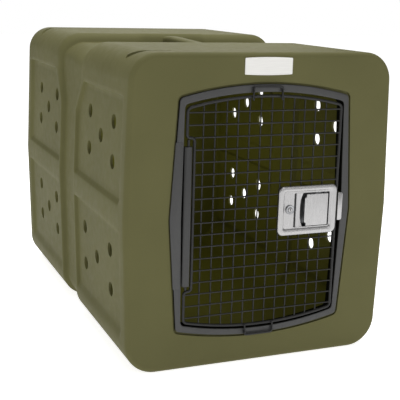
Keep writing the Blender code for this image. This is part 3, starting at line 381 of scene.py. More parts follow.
def filleted(corners, steps=STEPS_PER_CORNER):
    """Round each corner (x, z, radius) of a closed outline; a radius of 0 keeps the corner."""
    outline = []
    count = len(corners)
    for i, (x, z, radius) in enumerate(corners):
        here = Vector((x, z))
        if radius == 0.0:
            outline.append(here)
            continue
        before = (Vector(corners[i - 1][:2]) - here).normalized()
        after = (Vector(corners[(i + 1) % count][:2]) - here).normalized()
        half = math.acos(max(-1.0, min(1.0, before.dot(after)))) / 2
        reach = radius / math.tan(half)
        centre = here + (before + after).normalized() * radius / math.sin(half)
        start = here + before * reach - centre
        end = here + after * reach - centre
        sweep = start.angle_signed(end)
        for k in range(steps + 1):
            turned = start.copy()
            turned.rotate(Matrix.Rotation(-sweep * k / steps, 2))
            outline.append(centre + turned)
    return outline


def arc_radius(half, rise):
    return (half * half + rise * rise) / (2 * abs(rise))


def bowed(half, z, rise, corner_radius, middle=0.0):
    """A shallow arc from right to left about the middle, with its ends as rounded corners."""
    radius = arc_radius(half, rise)
    sign = 1.0 if rise > 0 else -1.0
    reach = math.asin(half / radius)
    points = [(middle + half, z, corner_radius)]
    for k in range(1, ARCH_STEPS):
        angle = reach * (1 - 2 * k / ARCH_STEPS)
        bow = rise - sign * radius * (1 - math.cos(angle))
        points.append((middle + radius * math.sin(angle), z + bow, 0.0))
    return [*points, (middle - half, z, corner_radius)]


def ring_outline(shape, grow=0.0):
    """Outline of the door ring: arched top and bottom, sides that bend out half way up."""
    corner = shape["corner"] + grow
    top = shape["top"] + grow
    bottom = shape["bottom"] - grow
    radius = max(shape["radius"] + grow, RING_LEAST_R)
    return filleted([(shape["right"] + grow, MID_Z, 0.0),
                     *bowed(corner, top, shape["rise"], radius),
                     (-shape["left"] - grow, MID_Z, 0.0),
                     *reversed(bowed(corner, bottom, -shape["drop"], radius))])


def upright(x, depth, low, high):
    """A bar's two ends, one above the other."""
    return (x, FACE_Y + depth, low), (x, FACE_Y + depth, high)


def bars_mesh(bars, radius, sides):
    """Straight round bars, each from its start to its end, in one mesh."""
    work = bmesh.new()
    for start, end in bars:
        turn = (Vector(end) - Vector(start)).to_track_quat("Z", "Y").to_matrix()
        rings = []
        for centre in (start, end):
            spokes = [turn @ Vector((c, s, 0.0)) for c, s in circle(sides)]
            rings.append([work.verts.new(Vector(centre) + radius * spoke) for spoke in spokes])
        work.faces.new(rings[0])
        work.faces.new(rings[1])
        for k in range(sides):
            j = (k + 1) % sides
            work.faces.new((rings[0][k], rings[0][j], rings[1][j], rings[1][k]))
    return mesh_from(work)


def combine(item, operation, meshes):
    """Boolean each mesh into the item's own mesh, one after another."""
    for mesh in meshes:
        tool = add_object("tool", mesh)
        step = item.modifiers.new("cut", "BOOLEAN")
        step.object = tool
        step.operation = operation
        step.solver = "MANIFOLD"
        made = bpy.data.meshes.new_from_object(
            item.evaluated_get(bpy.context.evaluated_depsgraph_get()))
        item.modifiers.clear()
        bpy.data.objects.remove(tool)
        item.data = made
    item.data.shade_smooth()
    item.data.set_sharp_from_angle(angle=SHARP_ANGLE)


def join(item, *meshes):
    combine(item, "UNION", meshes)


def cut(item, *meshes):
    combine(item, "DIFFERENCE", meshes)


def finish(item, body, *nodes):
    """Set the body that a piece rides, and the CAD nodes that it replaces."""
    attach(item, body)
    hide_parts(*nodes)


# The moulded body


def side_x(z):
    """Half width of the body at a height: widest at the crease, tapered both ways."""
    taper = LOWER_TAPER if z < CREASE_Z else UPPER_TAPER
    return HALF_WIDTH - taper * abs(z - CREASE_Z)


def lean(z):
    """Weight of the roof's places over the side's: 0 below the chamfer, 1 above it."""
    low, high = CHAMFER_Z
    return max(0.0, min(1.0, (z - low) / (high - low)))


def spread(start, end, pitch):
    """Even steps from start, without the end, no longer than the pitch."""
    count = max(1, math.ceil(abs(end - start) / pitch))
    return [start + (end - start) * k / count for k in range(count)]


def panel_weight(z):
    """How far down the panels' recess reaches at a height: 0 on the ribs, 1 on the panels."""
    best = 0.0
    for low, inner_low, inner_high, high in (LOWER_PANEL_Z, UPPER_PANEL_Z):
        if low < z < high:
            rise = smooth_step((z - low) / (inner_low - low))
            fall = smooth_step((high - z) / (high - inner_high))
            best = max(best, min(rise, fall))
    return best


def body_rows():
    """Lengthwise lines of the right half of the skin, from the floor's middle to the roof's.

    Each is x, z, the outward normal, the panel's weight, the channel's depth and the pocket's
    weight.
    """
    low_x = side_x(BOTTOM_CORNER_R) - BOTTOM_CORNER_R
    high_z = ROOF_Z - TOP_CORNER_R
    high_x = side_x(high_z) - TOP_CORNER_R
    rows = [(x, 0.0, 0.0, -1.0, 0.0, 0.0, 0.0) for x in spread(0.0, low_x, FLOOR_PITCH)]
    for down, out in quarter(CORNER_ROWS)[:-1]:
        rows.append((low_x + BOTTOM_CORNER_R * out, BOTTOM_CORNER_R * (1 - down), out, -down,
                     0.0, CHANNEL_SIDE_DEPTH * smooth_step(out), 0.0))
    stops = [BOTTOM_CORNER_R, *LOWER_PANEL_Z, CREASE_Z, *UPPER_PANEL_Z, high_z]
    slopes = (LOWER_PANEL_Z[:2], LOWER_PANEL_Z[2:], UPPER_PANEL_Z[:2], UPPER_PANEL_Z[2:])
    heights = []
    for start, end in zip(stops, stops[1:]):
        sloped = (start, end) in slopes
        heights += spread(start, end, abs(end - start) / SLOPE_ROWS if sloped else SIDE_PITCH)
    for z in heights:
        rows.append((side_x(z), z, 1.0, 0.0, panel_weight(z), CHANNEL_SIDE_DEPTH, 0.0))
    for out, up in quarter(CORNER_ROWS)[:-1]:
        depth = CHANNEL_SIDE_DEPTH + (CHANNEL_ROOF_DEPTH - CHANNEL_SIDE_DEPTH) * smooth_step(up)
        rows.append((high_x + TOP_CORNER_R * out, high_z + TOP_CORNER_R * up, out, up,
                     0.0, depth, 0.0))
    inner, rim = POCKET_HALF
    places = spread(high_x, rim, ROOF_PITCH) + spread(rim, inner, POCKET_SLOPE_PITCH)
    places += [*spread(inner, 0.0, POCKET_PITCH), 0.0]
    for x in places:
        pocket = smooth_step((rim - x) / (rim - inner))
        rows.append((x, ROOF_Z, 0.0, 1.0, 0.0, CHANNEL_ROOF_DEPTH, pocket))
    return rows


def body_stations(skin):
    """Crosswise lines from the front face to the rear face.

    Each is its place on the side and on the roof, the pull of the rounded edge, and the weights of
    the panel, the channel and the pocket.
    """
    edge = EDGE_R - skin
    half = []
    for inward, outward in quarter(EDGE_STATIONS):
        y = skin + edge * (1 - inward)
        half.append((y, y, edge * (1 - outward), 0.0, 0.0, 0.0))
    keys = [(EDGE_R, EDGE_R, 0, 0), (PANEL_FRONT[0], PANEL_FRONT[0], 0, 0),
            (PANEL_FRONT[1], PANEL_FRONT[1], 1, 0), (PANEL_REAR_SIDE[0], PANEL_REAR_TOP[0], 1, 0),
            (PANEL_REAR_SIDE[1], PANEL_REAR_TOP[1], 0, 0), (CHANNEL_SIDE[0], CHANNEL_TOP[0], 0, 0),
            (CHANNEL_SIDE[1], CHANNEL_TOP[1], 0, 1), (LENGTH / 2, LENGTH / 2, 0, 1)]
    for first, second in zip(keys, keys[1:]):
        moving = first[2:] != second[2:]
        count = SLOPE_STATIONS if moving else math.ceil((second[0] - first[0]) / STATION_PITCH)
        for k in range(1, count + 1):
            t = k / count
            s = smooth_step(t)
            panel = first[2] + (second[2] - first[2]) * s
            channel = first[3] + (second[3] - first[3]) * s
            side = first[0] + (second[0] - first[0]) * t
            top = first[1] + (second[1] - first[1]) * t
            half.append((side, top, 0.0, panel, channel, channel))
    rear = []
    for side, top, *rest in reversed(half[:-1]):
        share = (top - CHANNEL_TOP[0]) / (CHANNEL_TOP[1] - CHANNEL_TOP[0])
        if 0.0 < share < 1.0:
            drop = smooth_step(share)
            bulged = math.sqrt(drop * (2 - drop)) * WALL_BULGE + share * (1 - WALL_BULGE)
            top = CHANNEL_TOP[0] + (CHANNEL_TOP[1] - CHANNEL_TOP[0]) * bulged
        rear.append((LENGTH - side, LENGTH - top, *rest))
    return half + rear


def skin_mesh(skin):
    """The body's closed skin, or the same skin that much further in."""
    rows = body_rows()
    loops = []
    for on_side, on_top, pull, panel, channel, pocket in body_stations(skin):
        half = []
        for x, z, nx, nz, panel_here, channel_depth, pocket_here in rows:
            depth = PANEL_DEPTH * panel_here * panel + channel_depth * channel
            depth += (POCKET_DEPTH - CHANNEL_ROOF_DEPTH) * pocket_here * pocket
            share = lean(z)
            y = on_side + (on_top - on_side) * share
            rise = REAR_RISE * share * smooth_step((y - LENGTH / 2) / REAR_RISE_REACH + 0.5)
            inset = skin + pull + depth
            half.append((x - nx * inset, FACE_Y + y, z - nz * inset + rise))
        loops.append([Vector(point) for point in half]
                     + [Vector((-x, y, z)) for x, y, z in reversed(half[1:-1])])
    return loft(loops)


def grip_mesh():
    """The bar over the hand pocket. Its ends flare and sink into the two blocks."""
    half_length = LENGTH / 2 - CHANNEL_TOP[0] + GRIP_SUNK
    loops = []
    for k in range(GRIP_STEPS + 1):
        t = 2 * k / GRIP_STEPS - 1
        y = FACE_Y + LENGTH / 2 + half_length * t
        flare = smooth_step((abs(t) - GRIP_FLARE_START) / (1 - GRIP_FLARE_START))
        half_width = GRIP_HALF_WIDTH + GRIP_FLARE["half_width"] * flare
        thick = GRIP_THICK + GRIP_FLARE["thick"] * flare
        top = ROOF_Z - GRIP_BELOW_ROOF - GRIP_FLARE["drop"] * flare
        top += REAR_RISE * GRIP_REAR_SHARE * smooth_step((t + 1) / 2)
        loop = []
        for across, up in circle(GRIP_SIDES):
            x = half_width * math.copysign(abs(across) ** GRIP_ROUNDNESS, across)
            z = thick / 2 * math.copysign(abs(up) ** GRIP_ROUNDNESS, up)
            loop.append(Vector((x, y, top - thick / 2 + z)))
        loops.append(loop)
    return loft(loops)


def vent_places(columns, rows, shift):
    """A panel's five vents, as on a die."""
    near, middle, far = (y + shift for y in columns)
    top, centre, bottom = rows
    return [(near, top), (far, top), (middle, centre), (near, bottom), (far, bottom)]


def vent_bars():
    bars = []
    for side in (-1.0, 1.0):
        lower_front = LOWER_VENTS_LEFT_FRONT if side < 0 else LOWER_VENTS
        places = vent_places(*UPPER_VENTS, 0.0) + vent_places(*lower_front, 0.0)
        places += vent_places(*UPPER_VENTS, VENT_REAR_SHIFT)
        places += vent_places(*LOWER_VENTS, VENT_REAR_SHIFT)
        inner = side * (HALF_WIDTH - VENT_CUT[0])
        outer = side * (HALF_WIDTH + VENT_CUT[1])
        bars += [((inner, FACE_Y + y, z), (outer, FACE_Y + y, z)) for y, z in places]
    return bars


def roof_z(x):
    """Height of the front block's roof, which curves down at its corners."""
    high_z = ROOF_Z - TOP_CORNER_R
    past = x - (side_x(high_z) - TOP_CORNER_R)
    return high_z + math.sqrt(TOP_CORNER_R ** 2 - past ** 2) if past > 0 else ROOF_Z


def smoothed(points, steps):
    """Catmull-Rom curve through tuples of numbers."""
    padded = [points[0], *points, points[-1]]
    curve = []
    for a, b, c, d in zip(padded, padded[1:], padded[2:], padded[3:]):
        for k in range(steps):
            t = k / steps
            curve.append(tuple(
                0.5 * (2 * q + (r - p) * t + (2 * p - 5 * q + 4 * r - u) * t * t
                       + (3 * q - p - 3 * r + u) * t ** 3)
                for p, q, r, u in zip(a, b, c, d)))
    curve.append(points[-1])
    return curve


def tube(path, radii, sides=16, rounded=0):
    """Round tube along an open path of points. rounded adds that many steps to each dome end."""
    loops = []
    last = len(path) - 1
    rings = [(i, 1.0, 0.0) for i in range(len(path))]
    if rounded:
        angles = [math.pi / 2 * (k + 0.5) / (rounded + 0.5) for k in range(rounded)]
        rings = ([(0, math.cos(a), -math.sin(a)) for a in reversed(angles)] + rings
                 + [(last, math.cos(a), math.sin(a)) for a in angles])
    for i, share, beyond in rings:
        along = (path[min(i + 1, last)] - path[max(i - 1, 0)]).normalized()
        turn = along.to_track_quat("Z", "Y").to_matrix()
        centre = path[i] + along * radii[i] * beyond
        loops.append([centre + radii[i] * share * (turn @ Vector((c, s, 0.0)))
                      for c, s in circle(sides)])
    return loft(loops)


def lashing_groove(side, at_rear, wall=0.0):
    """Groove over a corner of the roof. With a wall it is that much thicker, for the cavity."""
    curve = smoothed(LASHING_PATH, LASHING_STEPS)
    path = []
    for x, y, _ in curve:
        place_y = LENGTH - y if at_rear else y
        rise = REAR_RISE if at_rear else 0.0
        path.append(Vector((side * x, FACE_Y + place_y, roof_z(x) + rise + GROOVE_LIFT)))
    radii = [radius + wall for _, _, radius in curve]
    return tube(path, radii, rounded=GROOVE_DOME_STEPS if wall else 0)


def body_piece():
    """The hollow shell: skin and grip, less the cavity, the ring's seat, the vents and grooves."""
    body = new_object("moulded_body", skin_mesh(0.0), "olive_polyethylene")
    cavity = new_object("cavity", skin_mesh(WALL), "olive_polyethylene")
    block = prism(ring_outline(RING_OUTER, SEAT_MARGIN), CUT_FRONT, SEAT_BACK)
    corners = [(side, at_rear) for side in (-1.0, 1.0) for at_rear in (False, True)]
    cut(cavity, block, *(lashing_groove(*corner, wall=GROOVE_WALL) for corner in corners))
    seat = prism(ring_outline(RING_OUTER, SEAT_GAP), CUT_FRONT, SEAT_DEPTH)
    opening = ring_outline(RING_INNER, SLEEVE_WALL + SLEEVE_GAP)
    mouth = prism(opening, CUT_FRONT, MOUTH_BACK)
    vents = bars_mesh(vent_bars(), VENT_R, VENT_SIDES)
    join(body, grip_mesh())
    cut(body, cavity.data, seat, mouth, vents, *(lashing_groove(*corner) for corner in corners))
    bpy.data.objects.remove(cavity)
    finish(body, "kennel", "kennel_body")


# The ring, the post and the fixed fittings


def rolled(radius, steps, opening):
    """Inset and drop of a rounded edge: from a side onto a face, or off a face onto a side."""
    pairs = [(radius * (1 - c), radius * (1 - s)) for c, s in quarter(steps)]
    return pairs if opening else [(falling, rising) for rising, falling in pairs]


def ring_piece():
    """Surround ring with rolled edges, its sleeve and the raised strip."""
    front = -RING_PROUD
    loops = [at_depth(ring_outline(RING_OUTER, -RING_INSET), SEAT_DEPTH - GAP)]
    loops += [at_depth(ring_outline(RING_OUTER, -RING_INSET - grow), front + drop)
              for grow, drop in rolled(RING_ROLL_OUTER, ROLL_STEPS, True)]
    loops += [at_depth(ring_outline(RING_INNER, grow), front + drop)
              for grow, drop in rolled(RING_ROLL_INNER, ROLL_STEPS, False)]
    loops += [at_depth(ring_outline(RING_INNER), SLEEVE_BACK),
              at_depth(ring_outline(RING_INNER, SLEEVE_WALL), SLEEVE_BACK),
              at_depth(ring_outline(RING_INNER, SLEEVE_WALL), SEAT_DEPTH - GAP)]
    ring = new_object("door_ring", loft(loops, cyclic=True), "dark_grey_plastic")
    join(ring, land_mesh())
    finish(ring, "kennel", "door_frame")


def land_mesh():
    """Raised strip on the hinge-side bar, with a softened edge."""
    low, high = LAND_Z
    corner, middle = RING_OUTER["corner"], RING_OUTER["left"]
    swell = middle - corner
    high_share = (RING_OUTER["top"] - high) / (RING_OUTER["top"] - MID_Z)
    low_share = (low - RING_OUTER["bottom"]) / (MID_Z - RING_OUTER["bottom"])

    def outline(inset):
        edge = LAND_EDGE + inset
        return [Vector((-LAND_INNER - inset, low + inset)),
                Vector((-LAND_INNER - inset, high - inset)),
                Vector((edge - corner - swell * high_share, high - inset)),
                Vector((edge - middle, MID_Z)),
                Vector((edge - corner - swell * low_share, low + inset))]

    top = -RING_PROUD - LAND_RISE
    loops = [at_depth(outline(0.0), -RING_PROUD + LAND_SUNK)]
    loops += stepped(outline, top, LAND_SOFTENING)
    return loft(loops)


def box_outline(across, up, radius, inset=0.0):
    """Rounded rectangle between two spans, that much further in."""
    left, right = across[0] + inset, across[1] - inset
    low, high = up[0] + inset, up[1] - inset
    return filleted([(right, low, radius), (right, high, radius),
                     (left, high, radius), (left, low, radius)])


def box_mesh(low, high):
    outline = [Vector((low[0], low[2])), Vector((low[0], high[2])),
               Vector((high[0], high[2])), Vector((high[0], low[2]))]
    return prism(outline, low[1], high[1])


def post_piece():
    """Rounded bar that takes the door's pins in its ends, with a flange down its back."""
    low, high = POST_Z
    ends = [(POST_EDGE, 0.0), (POST_EDGE * 0.3, POST_EDGE * 0.3), (0.0, POST_EDGE)]
    levels = [(inset, low + rise) for inset, rise in ends]
    levels += [(inset, high - rise) for inset, rise in reversed(ends)]
    loops = []
    for inset, z in levels:
        outline = box_outline(POST_X, POST_Y, POST_CORNER_R - inset * 0.5, inset)
        loops.append([Vector((x, FACE_Y + y, z)) for x, y in outline])
    post = new_object("post_bar", loft(loops), "dark_grey_plastic")
    flange = box_mesh((POST_X[0], 0.0, low + FLANGE_INSET),
                      (POST_X[0] + FLANGE_THICK, FLANGE_BACK, high - FLANGE_INSET))
    spans = ((low - BORE_OVERRUN, low + BORE_DEPTH), (high - BORE_DEPTH, high + BORE_OVERRUN))
    bore = bars_mesh([upright(HINGE_X, 0.0, *span) for span in spans], BORE_R, 24)
    join(post, flange)
    cut(post, bore)
    finish(post, "kennel", "hinge_post")


def badge_outline(inset):
    low, high = BADGE_Z[0] + inset, BADGE_Z[1] - inset
    half = BADGE_HALF - inset
    radius = max(BADGE_CORNER_R - inset, BADGE_LEAST_R)
    top, bottom = high - BADGE_BOW, low + BADGE_BOW
    return filleted([*bowed(half, top, BADGE_BOW, radius),
                     *reversed(bowed(half, bottom, -BADGE_BOW, radius))], SMALL_CORNER_STEPS)


def badge_piece():
    """Blank plate with bowed long edges and a raised border."""
    loops = stepped(badge_outline, 0.0, [(0.0, -GAP), *BADGE_SECTION])
    plate = new_object("badge_plate", loft(loops), "pale_plate")
    finish(plate, "kennel", "badge")


def strike_piece():
    """Keeper: a plate on the ring's front with a leg behind the bolt's end."""
    low, high = STRIKE_Z
    left, right = STRIKE_LIP_X

    def outline(inset):
        return filleted([(right - inset, low + inset, STRIKE_CORNER_R),
                         (right - inset, high - inset, STRIKE_CORNER_R),
                         (left + inset, high - inset, STRIKE_INNER_R),
                         (left + inset, low + inset, STRIKE_INNER_R)])

    loops = [at_depth(outline(0.0), -RING_PROUD - GAP)]
    loops += stepped(outline, STRIKE_FRONT_Y, STRIKE_SOFTENING)
    plate = new_object("strike", loft(loops), "brushed_stainless")
    leg = box_mesh((STRIKE_LEG_X[0], STRIKE_LEG_Y[0], low),
                   (STRIKE_LEG_X[1], STRIKE_LEG_Y[1], high))
    join(plate, leg)
    finish(plate, "kennel", "strike_plate")


# The door


def rod_path():
    """The rod's outline: arched top and bottom, and the step round the hinge post."""
    return filleted([*bowed(ROD_HALF, ROD_TOP, ROD_RISE, ROD_CORNER_R, ROD_MIDDLE),
                     (ROD_LEFT, STEP_TOP_Z, ROD_STEP_R),
                     (ROD_STEP, STEP_TOP_Z - ROD_STEP_SLOPE, ROD_STEP_R),
                     (ROD_STEP, STEP_LOW_Z + ROD_STEP_SLOPE, ROD_STEP_R),
                     (ROD_LEFT, STEP_LOW_Z, ROD_STEP_R),
                     *reversed(bowed(ROD_HALF, ROD_BOTTOM, -ROD_DROP, ROD_CORNER_R, ROD_MIDDLE))],
                    ROD_CORNER_STEPS)


def rod_piece():
    """Round rod along its closed path."""
    path = rod_path()
    loops = []
    for i, point in enumerate(path):
        along = (path[(i + 1) % len(path)] - path[i - 1]).normalized()
        across = Vector((along.y, -along.x))
        loops.append([Vector((point.x + across.x * ROD_R * c, FACE_Y + ROD_R * s,
                              point.y + across.y * ROD_R * c)) for c, s in circle(ROD_SIDES)])
    rod = new_object("frame_rod", loft(loops, cyclic=True), "black_powder_coat")
    finish(rod, "door", "door_rod")


def rod_bow(x, bow):
    """How far the rod's arch stands above its corners at x."""
    radius = arc_radius(ROD_HALF, bow)
    return bow - radius + math.sqrt(radius * radius - (x - ROD_MIDDLE) ** 2)


def mesh_piece():
    """Welded wires, from rod to rod, with room for the latch's housing and the lock."""
    room_left = HOUSING_X[0] - HOUSING_ROOM["left"]
    room_low = HOUSING_Z[0] - HOUSING_ROOM["low"]
    room_high = HOUSING_Z[1] + HOUSING_ROOM["high"]
    lock_room = LOCK_BODY_R + LOCK_ROOM
    uprights = []
    for column in range(GRID_COLUMNS):
        x = PITCH * (column - (GRID_COLUMNS - 1) / 2)
        low = ROD_BOTTOM - rod_bow(x, ROD_DROP)
        high = ROD_TOP + rod_bow(x, ROD_RISE)
        spans = [(low, high)]
        if x > room_left:
            spans = [(low, room_low), (room_high, high)]
        elif abs(x - LOCK_X) < lock_room + WIRE_R:
            spans = [(low, LOCK_Z - lock_room), (LOCK_Z + lock_room, high)]
        uprights += [upright(x, WIRE_OFFSET, *span) for span in spans]
    levels = []
    for index in range(GRID_ROWS):
        z = GRID_LOW_Z + PITCH * index
        left = ROD_STEP if STEP_LOW_Z < z < STEP_TOP_Z else ROD_LEFT
        right = room_left if room_low - WIRE_R < z < room_high + WIRE_R else ROD_RIGHT
        if right == room_left and abs(z - LOCK_Z) < lock_room + WIRE_R:
            right = LOCK_X - lock_room
        levels.append(((left, FACE_Y - WIRE_OFFSET, z), (right, FACE_Y - WIRE_OFFSET, z)))
    mesh = bars_mesh(uprights, WIRE_R, WIRE_SIDES)
    wires = new_object("wire_mesh", mesh, "black_powder_coat")
    join(wires, bars_mesh(levels, WIRE_R, WIRE_SIDES))
    finish(wires, "door", "door_mesh")


def loop_piece(name, node, heights):
    """A U of wire in front of the ring, its legs welded to the door's rod."""
    door_z, ring_z = heights
    bend_z = math.copysign(LOOP_BEND, ring_z - door_z)
    half = [(LOOP_HALF, door_z)]
    half += [(LOOP_HALF - LOOP_BEND * (1 - c), ring_z - bend_z * (1 - s))
             for c, s in quarter(LOOP_BEND_STEPS)]
    path = half + [(-x, z) for x, z in reversed(half)]
    points = [Vector((LOOP_X + x, FACE_Y + LOOP_Y, z)) for x, z in path]
    mesh = tube(points, [LOOP_R] * len(points), sides=14, rounded=3)
    loop = new_object(name, mesh, "black_powder_coat")
    finish(loop, "door", node)


def pin_piece(name, node):
    """Straight hinge pin, as long as its CAD node."""
    low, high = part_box(node)
    points = [Vector((HINGE_X, FACE_Y, z)) for z in (low.z, high.z)]
    pin = new_object(name, tube(points, [PIN_R, PIN_R], sides=20), "black_powder_coat")
    finish(pin, "door", node)


# The latch


def latch_outline(inset):
    return box_outline(LATCH_X, LATCH_Z, LATCH_CORNER_R - inset, inset)


def tray_outline(grow):
    return box_outline(TRAY_X, TRAY_Z, TRAY_CORNER_R + grow, -grow)


def latch_plate_piece():
    """Pressed front plate: broad crowned rim, sunk tray, open well, lock hole and four studs."""
    roll_front = LATCH_RIM_Y + LATCH_ROLL_DROP
    loops = [at_depth(latch_outline(0.0), LATCH_BACK_Y)]
    loops += stepped(latch_outline, roll_front, rolled(LATCH_ROLL, LATCH_ROLL_STEPS, True))
    loops += stepped(latch_outline, LATCH_RIM_Y, RIM_CROWN)
    loops += stepped(tray_outline, LATCH_RIM_Y, TRAY_WALL)
    loops += stepped(tray_outline, TRAY_Y, [(0.0, 0.0), (-TRAY_MARGIN, 0.0)])
    plate = new_object("latch_front", loft(loops), "brushed_stainless")
    stud_front, stud_back = FACE_Y + LATCH_BACK_Y - STUD_SUNK, FACE_Y + STUD_BACK
    studs = bars_mesh([((x, stud_front, z), (x, stud_back, z))
                       for x in STUD_X for z in STUD_Z], STUD_R, 16)
    lock_axis = ((LOCK_X, FACE_Y - THROUGH, LOCK_Z), (LOCK_X, FACE_Y + THROUGH / 2, LOCK_Z))
    hole = bars_mesh([lock_axis], LOCK_BODY_R + GAP, 40)
    well = prism(box_outline(WELL_X, WELL_Z, WELL_CORNER_R), -THROUGH, THROUGH / 2)
    join(plate, studs)
    cut(plate, hole, well)
    finish(plate, "door", "latch_plate")


def folded_strip(name, outline, slot):
    """A strip as tall as the well, from its section: x, depth and extra x at the strip's ends."""
    low, high = WELL_Z[0] + STRIP_GAP, WELL_Z[1] - STRIP_GAP
    loops = []
    for k in range(STRIP_STEPS + 1):
        share = abs(2 * k / STRIP_STEPS - 1) ** 3
        z = low + (high - low) * k / STRIP_STEPS
        loops.append([Vector((x + extra * share, FACE_Y + depth, z))
                      for x, depth, extra in outline])
    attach(new_object(name, loft(loops), slot), "door")


def well_lining():
    """Black strip along the well's edge that stands for the shade of the trough there (painted
    shade), and the folded lip beside it that leads the fingers in.
    """
    # black strip standing for the trough's shade: painted shade
    section = [(x, depth, 0.0) for x, depth in WELL_SHADE_STRIP_SECTION]
    folded_strip("well_shade_strip", section, "black_powder_coat")
    section = [(x, depth, 0.0) for x, depth in LIP_FOLD]
    section += [(x, depth, LIP_REACH) for x, depth in LIP_EDGE]
    folded_strip("finger_lip", section, "brushed_stainless")


def paddle_piece():
    """Pull paddle: crowned plate with notched free corners, hinge knuckles and a tail."""
    left, right = PADDLE_X
    low, high = PADDLE_Z
    step_x, step_z = PADDLE_NOTCH
    slope_z = step_z + PADDLE_NOTCH_SLOPE

    def outline(inset):
        return filleted([
            (right - inset, low + inset, PADDLE_CORNER_R),
            (right - inset, high - inset, PADDLE_CORNER_R),
            (left + step_x + inset, high - inset, PADDLE_CORNER_R),
            (left + step_x + inset, high - step_z - inset, PADDLE_NOTCH_R),
            (left + inset, high - slope_z - inset, PADDLE_CORNER_R),
            (left + inset, low + slope_z + inset, PADDLE_CORNER_R),
            (left + step_x + inset, low + step_z + inset, PADDLE_NOTCH_R),
            (left + step_x + inset, low + inset, PADDLE_CORNER_R)], 5)

    front, back = PADDLE_Y
    loops = [at_depth(outline(PADDLE_BACK_EDGE), back),
             at_depth(outline(0.0), back - PADDLE_BACK_EDGE)]
    loops += stepped(outline, front, PADDLE_CROWN)
    paddle = new_object("pull_paddle", loft(loops), "brushed_stainless")
    spans = ((low, SPRING_GAP_Z[0]), (SPRING_GAP_Z[1], high))
    bars = [upright(PIVOT_X, PIVOT_Y, start + KNUCKLE_GAP, end - KNUCKLE_GAP)
            for start, end in spans]
    knuckles = bars_mesh(bars, KNUCKLE_R, 24)
    cheeks = [box_mesh((PIVOT_X + CHEEK_X[0], back + CHEEK_Y[0], start + CHEEK_GAP),
                       (PIVOT_X + CHEEK_X[1], PIVOT_Y + CHEEK_Y[1], end - CHEEK_GAP))
              for start, end in spans]
    tail = box_mesh((PIVOT_X - TAIL_HALF, PIVOT_Y + TAIL_START, PADDLE_TAIL_Z[0]),
                    (PIVOT_X + TAIL_HALF, PIVOT_Y + PADDLE_TAIL, PADDLE_TAIL_Z[1]))
    axis = upright(PIVOT_X, PIVOT_Y, low - BORE_OVERRUN, high + BORE_OVERRUN)
    join(paddle, knuckles, *cheeks, tail)
    cut(paddle, bars_mesh([axis], PIVOT_BORE_R, 16))
    finish(paddle, "paddle", "latch_paddle")


def turned(profile, sides):
    """Loops of a round part on the lock's axis, one for each (radius, depth) of its section."""
    return [[Vector((LOCK_X + radius * c, FACE_Y + depth, LOCK_Z + radius * s))
             for c, s in circle(sides)] for radius, depth in profile]


def lock_pieces():
    """Grooved barrel with a rolled flange, and the plug with its keyway."""
    bore = LOCK_PLUG_R + GAP
    shoulder = TRAY_Y - GAP
    profile = [(bore + past, LOCK_RIM_Y + drop) for past, drop in BORE_ROLL]
    profile += [(radius, LOCK_RIM_Y + drop) for radius, drop in LOCK_GROOVE]
    profile += [(LOCK_FLANGE_R + past, LOCK_RIM_Y + drop) for past, drop in FLANGE_ROLL]
    profile += [(LOCK_FLANGE_R, shoulder), (LOCK_BODY_R, shoulder), (LOCK_BODY_R, LOCK_BACK_Y),
                (bore, LOCK_BACK_Y)]
    mesh = loft(turned(profile, 48), cyclic=True)
    finish(new_object("lock_cylinder", mesh, "zinc_plate"), "door", "lock_barrel")
    profile = [(LOCK_PLUG_R, PLUG_BACK_Y)]
    profile += [(LOCK_PLUG_R + past, LOCK_FRONT_Y + drop) for past, drop in PLUG_ROLL]
    plug = new_object("lock_core", loft(turned(profile, 40)), "brushed_stainless")
    half_x, half_z = KEYWAY_HALF
    keyway = box_mesh((LOCK_X - half_x, -THROUGH, LOCK_Z - half_z),
                      (LOCK_X + half_x, KEYWAY_BACK_Y, LOCK_Z + half_z))
    cut(plug, keyway)
    finish(plug, "lock", "lock_plug")


# Materials

# Along Y, where the ring's plastic goes dark into its sleeve with painted shade, and where the
# post stands out
SLEEVE_PAINTED_SHADE = (FACE_Y - 0.0012, FACE_Y + 0.0004)
POST_FADE = (FACE_Y - 0.0036, FACE_Y - 0.0050)


def put(node, values):
    """Set a node's input sockets."""
    for name, value in values.items():
        node.inputs[name].default_value = value


